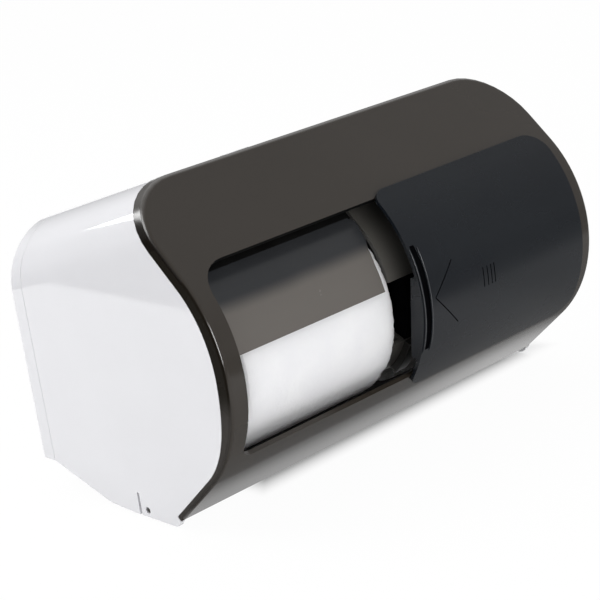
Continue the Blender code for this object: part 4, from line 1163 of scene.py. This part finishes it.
@dataclass
class Studio:
    """The floor, the light and the camera.

    Reflections show the floor as a lit table. Its sheen gives its light at places by y, it dims beyond its
    left end and beyond its front, which slants away left of the corner, and it is lighter on the right.
    """

    floor_height: float = -0.0895
    floor_reach: float = 14.0
    floor_roughness: float = 0.9
    floor_colour: Triple = (0.9, 0.9, 0.9)
    # Painted shadow: the floor is painted dark in the patch under the dispenser, where its shade falls.
    painted_shadow_colour: Triple = (0.06, 0.06, 0.06)
    under: Patch = Patch((0.0, -0.065), (0.125, 0.043), 0.02)
    shade: Patch = Patch((0.04, -0.055), (0.11, 0.05), 0.03, 0.97)
    left_end: Change = ((-0.424, -0.416), (0.06, 1.0))
    front_end: Change = ((-0.369, -0.345), (0.42, 1.0))
    front_corner: float = 0.2
    front_slope: float = 2.5
    table_range: Span = (-0.37, -0.05)
    table_sheen: tuple[Span, ...] = (
        (-0.363, 0.8), (-0.257, 0.6), (-0.208, 0.48), (-0.177, 0.36), (-0.16, 0.3), (-0.147, 0.24),
        (-0.1365, 0.2), (-0.1335, 0.24), (-0.131, 0.52), (-0.128, 0.7), (-0.1245, 0.8), (-0.12, 0.86),
        (-0.08, 1.0))
    right_rise: Change = ((0.0, 0.13), (1.0, 1.25))
    right_fall: Change = ((0.15, 0.21), (1.0, 0.8))
    front_glow: Change = ((0.4, -0.5), (0.3, 0.45))
    side_glow: Change = ((-0.75, 0.1), (0.5, 1.0))
    rear_glow: Change = ((-0.1, 0.5), (0.0, 0.95))
    rear_rise: Change = ((0.15, 0.6), (0.0, 1.0))
    top_glow: Change = ((0.2, 0.75), (0.0, 0.15))
    lamps: tuple[Lamp, ...] = (
        Lamp("softbox", (-0.9, 0.63, 1.02), 0.75, 0.75, 10.0),
        Lamp("rear_strip", (-0.62, 1.45, 0.69), 0.5, 0.26, 3.6),
        Lamp("left_window", (-1.6, -1.42, 0.1), 0.5, 1.3, 30.0, fills=False),
        Lamp("front_fill", (-0.1, -1.5, 0.6), 1.2, 0.6, 4.4, shows=False),
        Lamp("low_fill", (-0.1, -1.1, 0.24), 1.0, 0.2, 3.4, shows=False))
    camera_place: Triple = (-0.6615, -0.8277, 0.3009)
    camera_aim: Triple = (0.6318, 0.7163, -0.2963)
    camera_roll: float = math.radians(-8.27)
    focal_length: float = 102.0
    sensor_width: float = 36.0
    near_clip: float = 0.01

    def build(self) -> None:
        """Sets up the studio."""
        self._floor()
        self._world()
        for lamp in self.lamps:
            lamp.hang()
        self._camera()
        bpy.context.scene.view_settings.view_transform = "Standard"

    def _floor(self) -> None:
        """Lays a pale floor that shows as near white, still takes a shadow, and has painted shadow under the
        dispenser.
        """
        made = bmesh.new()
        bmesh.ops.create_grid(made, x_segments=1, y_segments=1, size=self.floor_reach)
        floor = put("studio_floor", to_mesh("studio_floor", made))
        floor.location = (0.0, 0.0, self.floor_height)
        floor.data.materials.append(self._floor_material())
        floor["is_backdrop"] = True

    def _floor_material(self) -> Material:
        """Makes the floor's material, which is white to the camera away from the dispenser's shade, and painted
        dark under it as painted shadow.

        Returns:
            The new material.
        """
        material = bpy.data.materials.new("studio_floor")
        wiring = Wiring(material)
        place = wiring.split(wiring.place)
        # Painted shadow: darker colour in the patch under the dispenser.
        colour = wiring.mix(self.under.outside(wiring, place), rgba(self.painted_shadow_colour), rgba(self.floor_colour))
        shader = wiring.nodes["Principled BSDF"]
        wiring.feed(shader, {"Base Color": colour, "Roughness": self.floor_roughness, Socket.SPECULAR.value: 0.0})
        rays = wiring.add("ShaderNodeLightPath")
        clear = wiring.combine("MULTIPLY", wiring.seen(rays), self.shade.outside(wiring, place))
        clear = wiring.combine("MAXIMUM", clear, rays.outputs["Is Glossy Ray"])
        white = wiring.add("ShaderNodeEmission", {"Strength": self._level(wiring, place, rays)})
        shown = {0: clear, 1: shader.outputs["BSDF"], 2: white.outputs["Emission"]}
        mixed = wiring.add("ShaderNodeMixShader", shown)
        wiring.feed(wiring.nodes["Material Output"], {"Surface": mixed.outputs["Shader"]})
        return material

    def _level(self, wiring: Wiring, place: Node, rays: Node) -> NodeSocket:
        """Makes the floor's light: white, or in reflections a lit table with dimmer surroundings.

        Args:
            wiring: The floor material's nodes.
            place: The node that gives the place's x and y.
            rays: The light path node.

        Returns:
            A socket with the strength.
        """
        x, y, glossy = place.outputs["X"], place.outputs["Y"], rays.outputs["Is Glossy Ray"]
        low, high = self.table_range
        sheen = [((where - low) / (high - low), (level,) * 3) for where, level in self.table_sheen]
        stops = [(0.0, sheen[0][1]), *sheen, (1.0, sheen[-1][1])]
        table = wiring.ramp(wiring.spread(y, self.table_range, smooth=False), stops)
        slant = wiring.combine("MINIMUM", wiring.combine("SUBTRACT", x, self.front_corner), 0.0)
        beyond = wiring.combine("SUBTRACT", y, wiring.combine("MULTIPLY", slant, self.front_slope))
        changes = ((x, self.right_rise), (x, self.right_fall), (x, self.left_end), (beyond, self.front_end))
        for factor in (*(wiring.spread(where, *change) for where, change in changes), glossy):
            table = wiring.combine("MULTIPLY", table, factor)
        return wiring.combine("ADD", wiring.combine("SUBTRACT", 1.0, glossy), table)

    def _world(self) -> None:
        """Makes a soft room: dim low down, lighter in front and high up behind, and white to the camera."""
        world = bpy.data.worlds.new("studio")
        bpy.context.scene.world = world
        wiring = Wiring(world, "Generated")
        way = wiring.split(wiring.place)
        x, y, z = (way.outputs[axis] for axis in "XYZ")
        front = wiring.combine("MULTIPLY", wiring.spread(y, *self.front_glow), wiring.spread(x, *self.side_glow))
        rear = wiring.combine("MULTIPLY", wiring.spread(y, *self.rear_glow), wiring.spread(z, *self.rear_rise))
        light = wiring.combine("ADD", wiring.combine("ADD", front, rear), wiring.spread(z, *self.top_glow))
        strength = wiring.combine("MAXIMUM", light, wiring.seen(wiring.add("ShaderNodeLightPath")))
        wiring.feed(wiring.nodes["Background"], {"Strength": strength, "Color": rgba((1.0, 1.0, 1.0))})

    def _camera(self) -> None:
        """Puts the camera at the photograph's place."""
        camera = bpy.data.cameras.new("camera")
        camera.sensor_width = self.sensor_width
        camera.lens = self.focal_length
        camera.clip_start = self.near_clip
        holder = put("camera", camera)
        aim = Vector(self.camera_aim).to_track_quat("-Z", "Y").to_matrix().to_4x4()
        roll = Matrix.Rotation(self.camera_roll, 4, "Z")
        holder.matrix_world = Matrix.Translation(self.camera_place) @ aim @ roll
        bpy.context.scene.camera = holder


def main() -> None:
    """Builds the dressed dispenser and its studio."""
    logging.basicConfig(level=logging.INFO, format="%(name)s: %(message)s")
    shop = Workshop()
    curve = CoverCurve()
    Shell(shop, curve).build()
    Door(shop, curve).build()
    Rolls(shop).build()
    Chassis(shop, curve).build()
    Lock(shop).build()
    Studio().build()


if __name__ == "__main__":
    main()
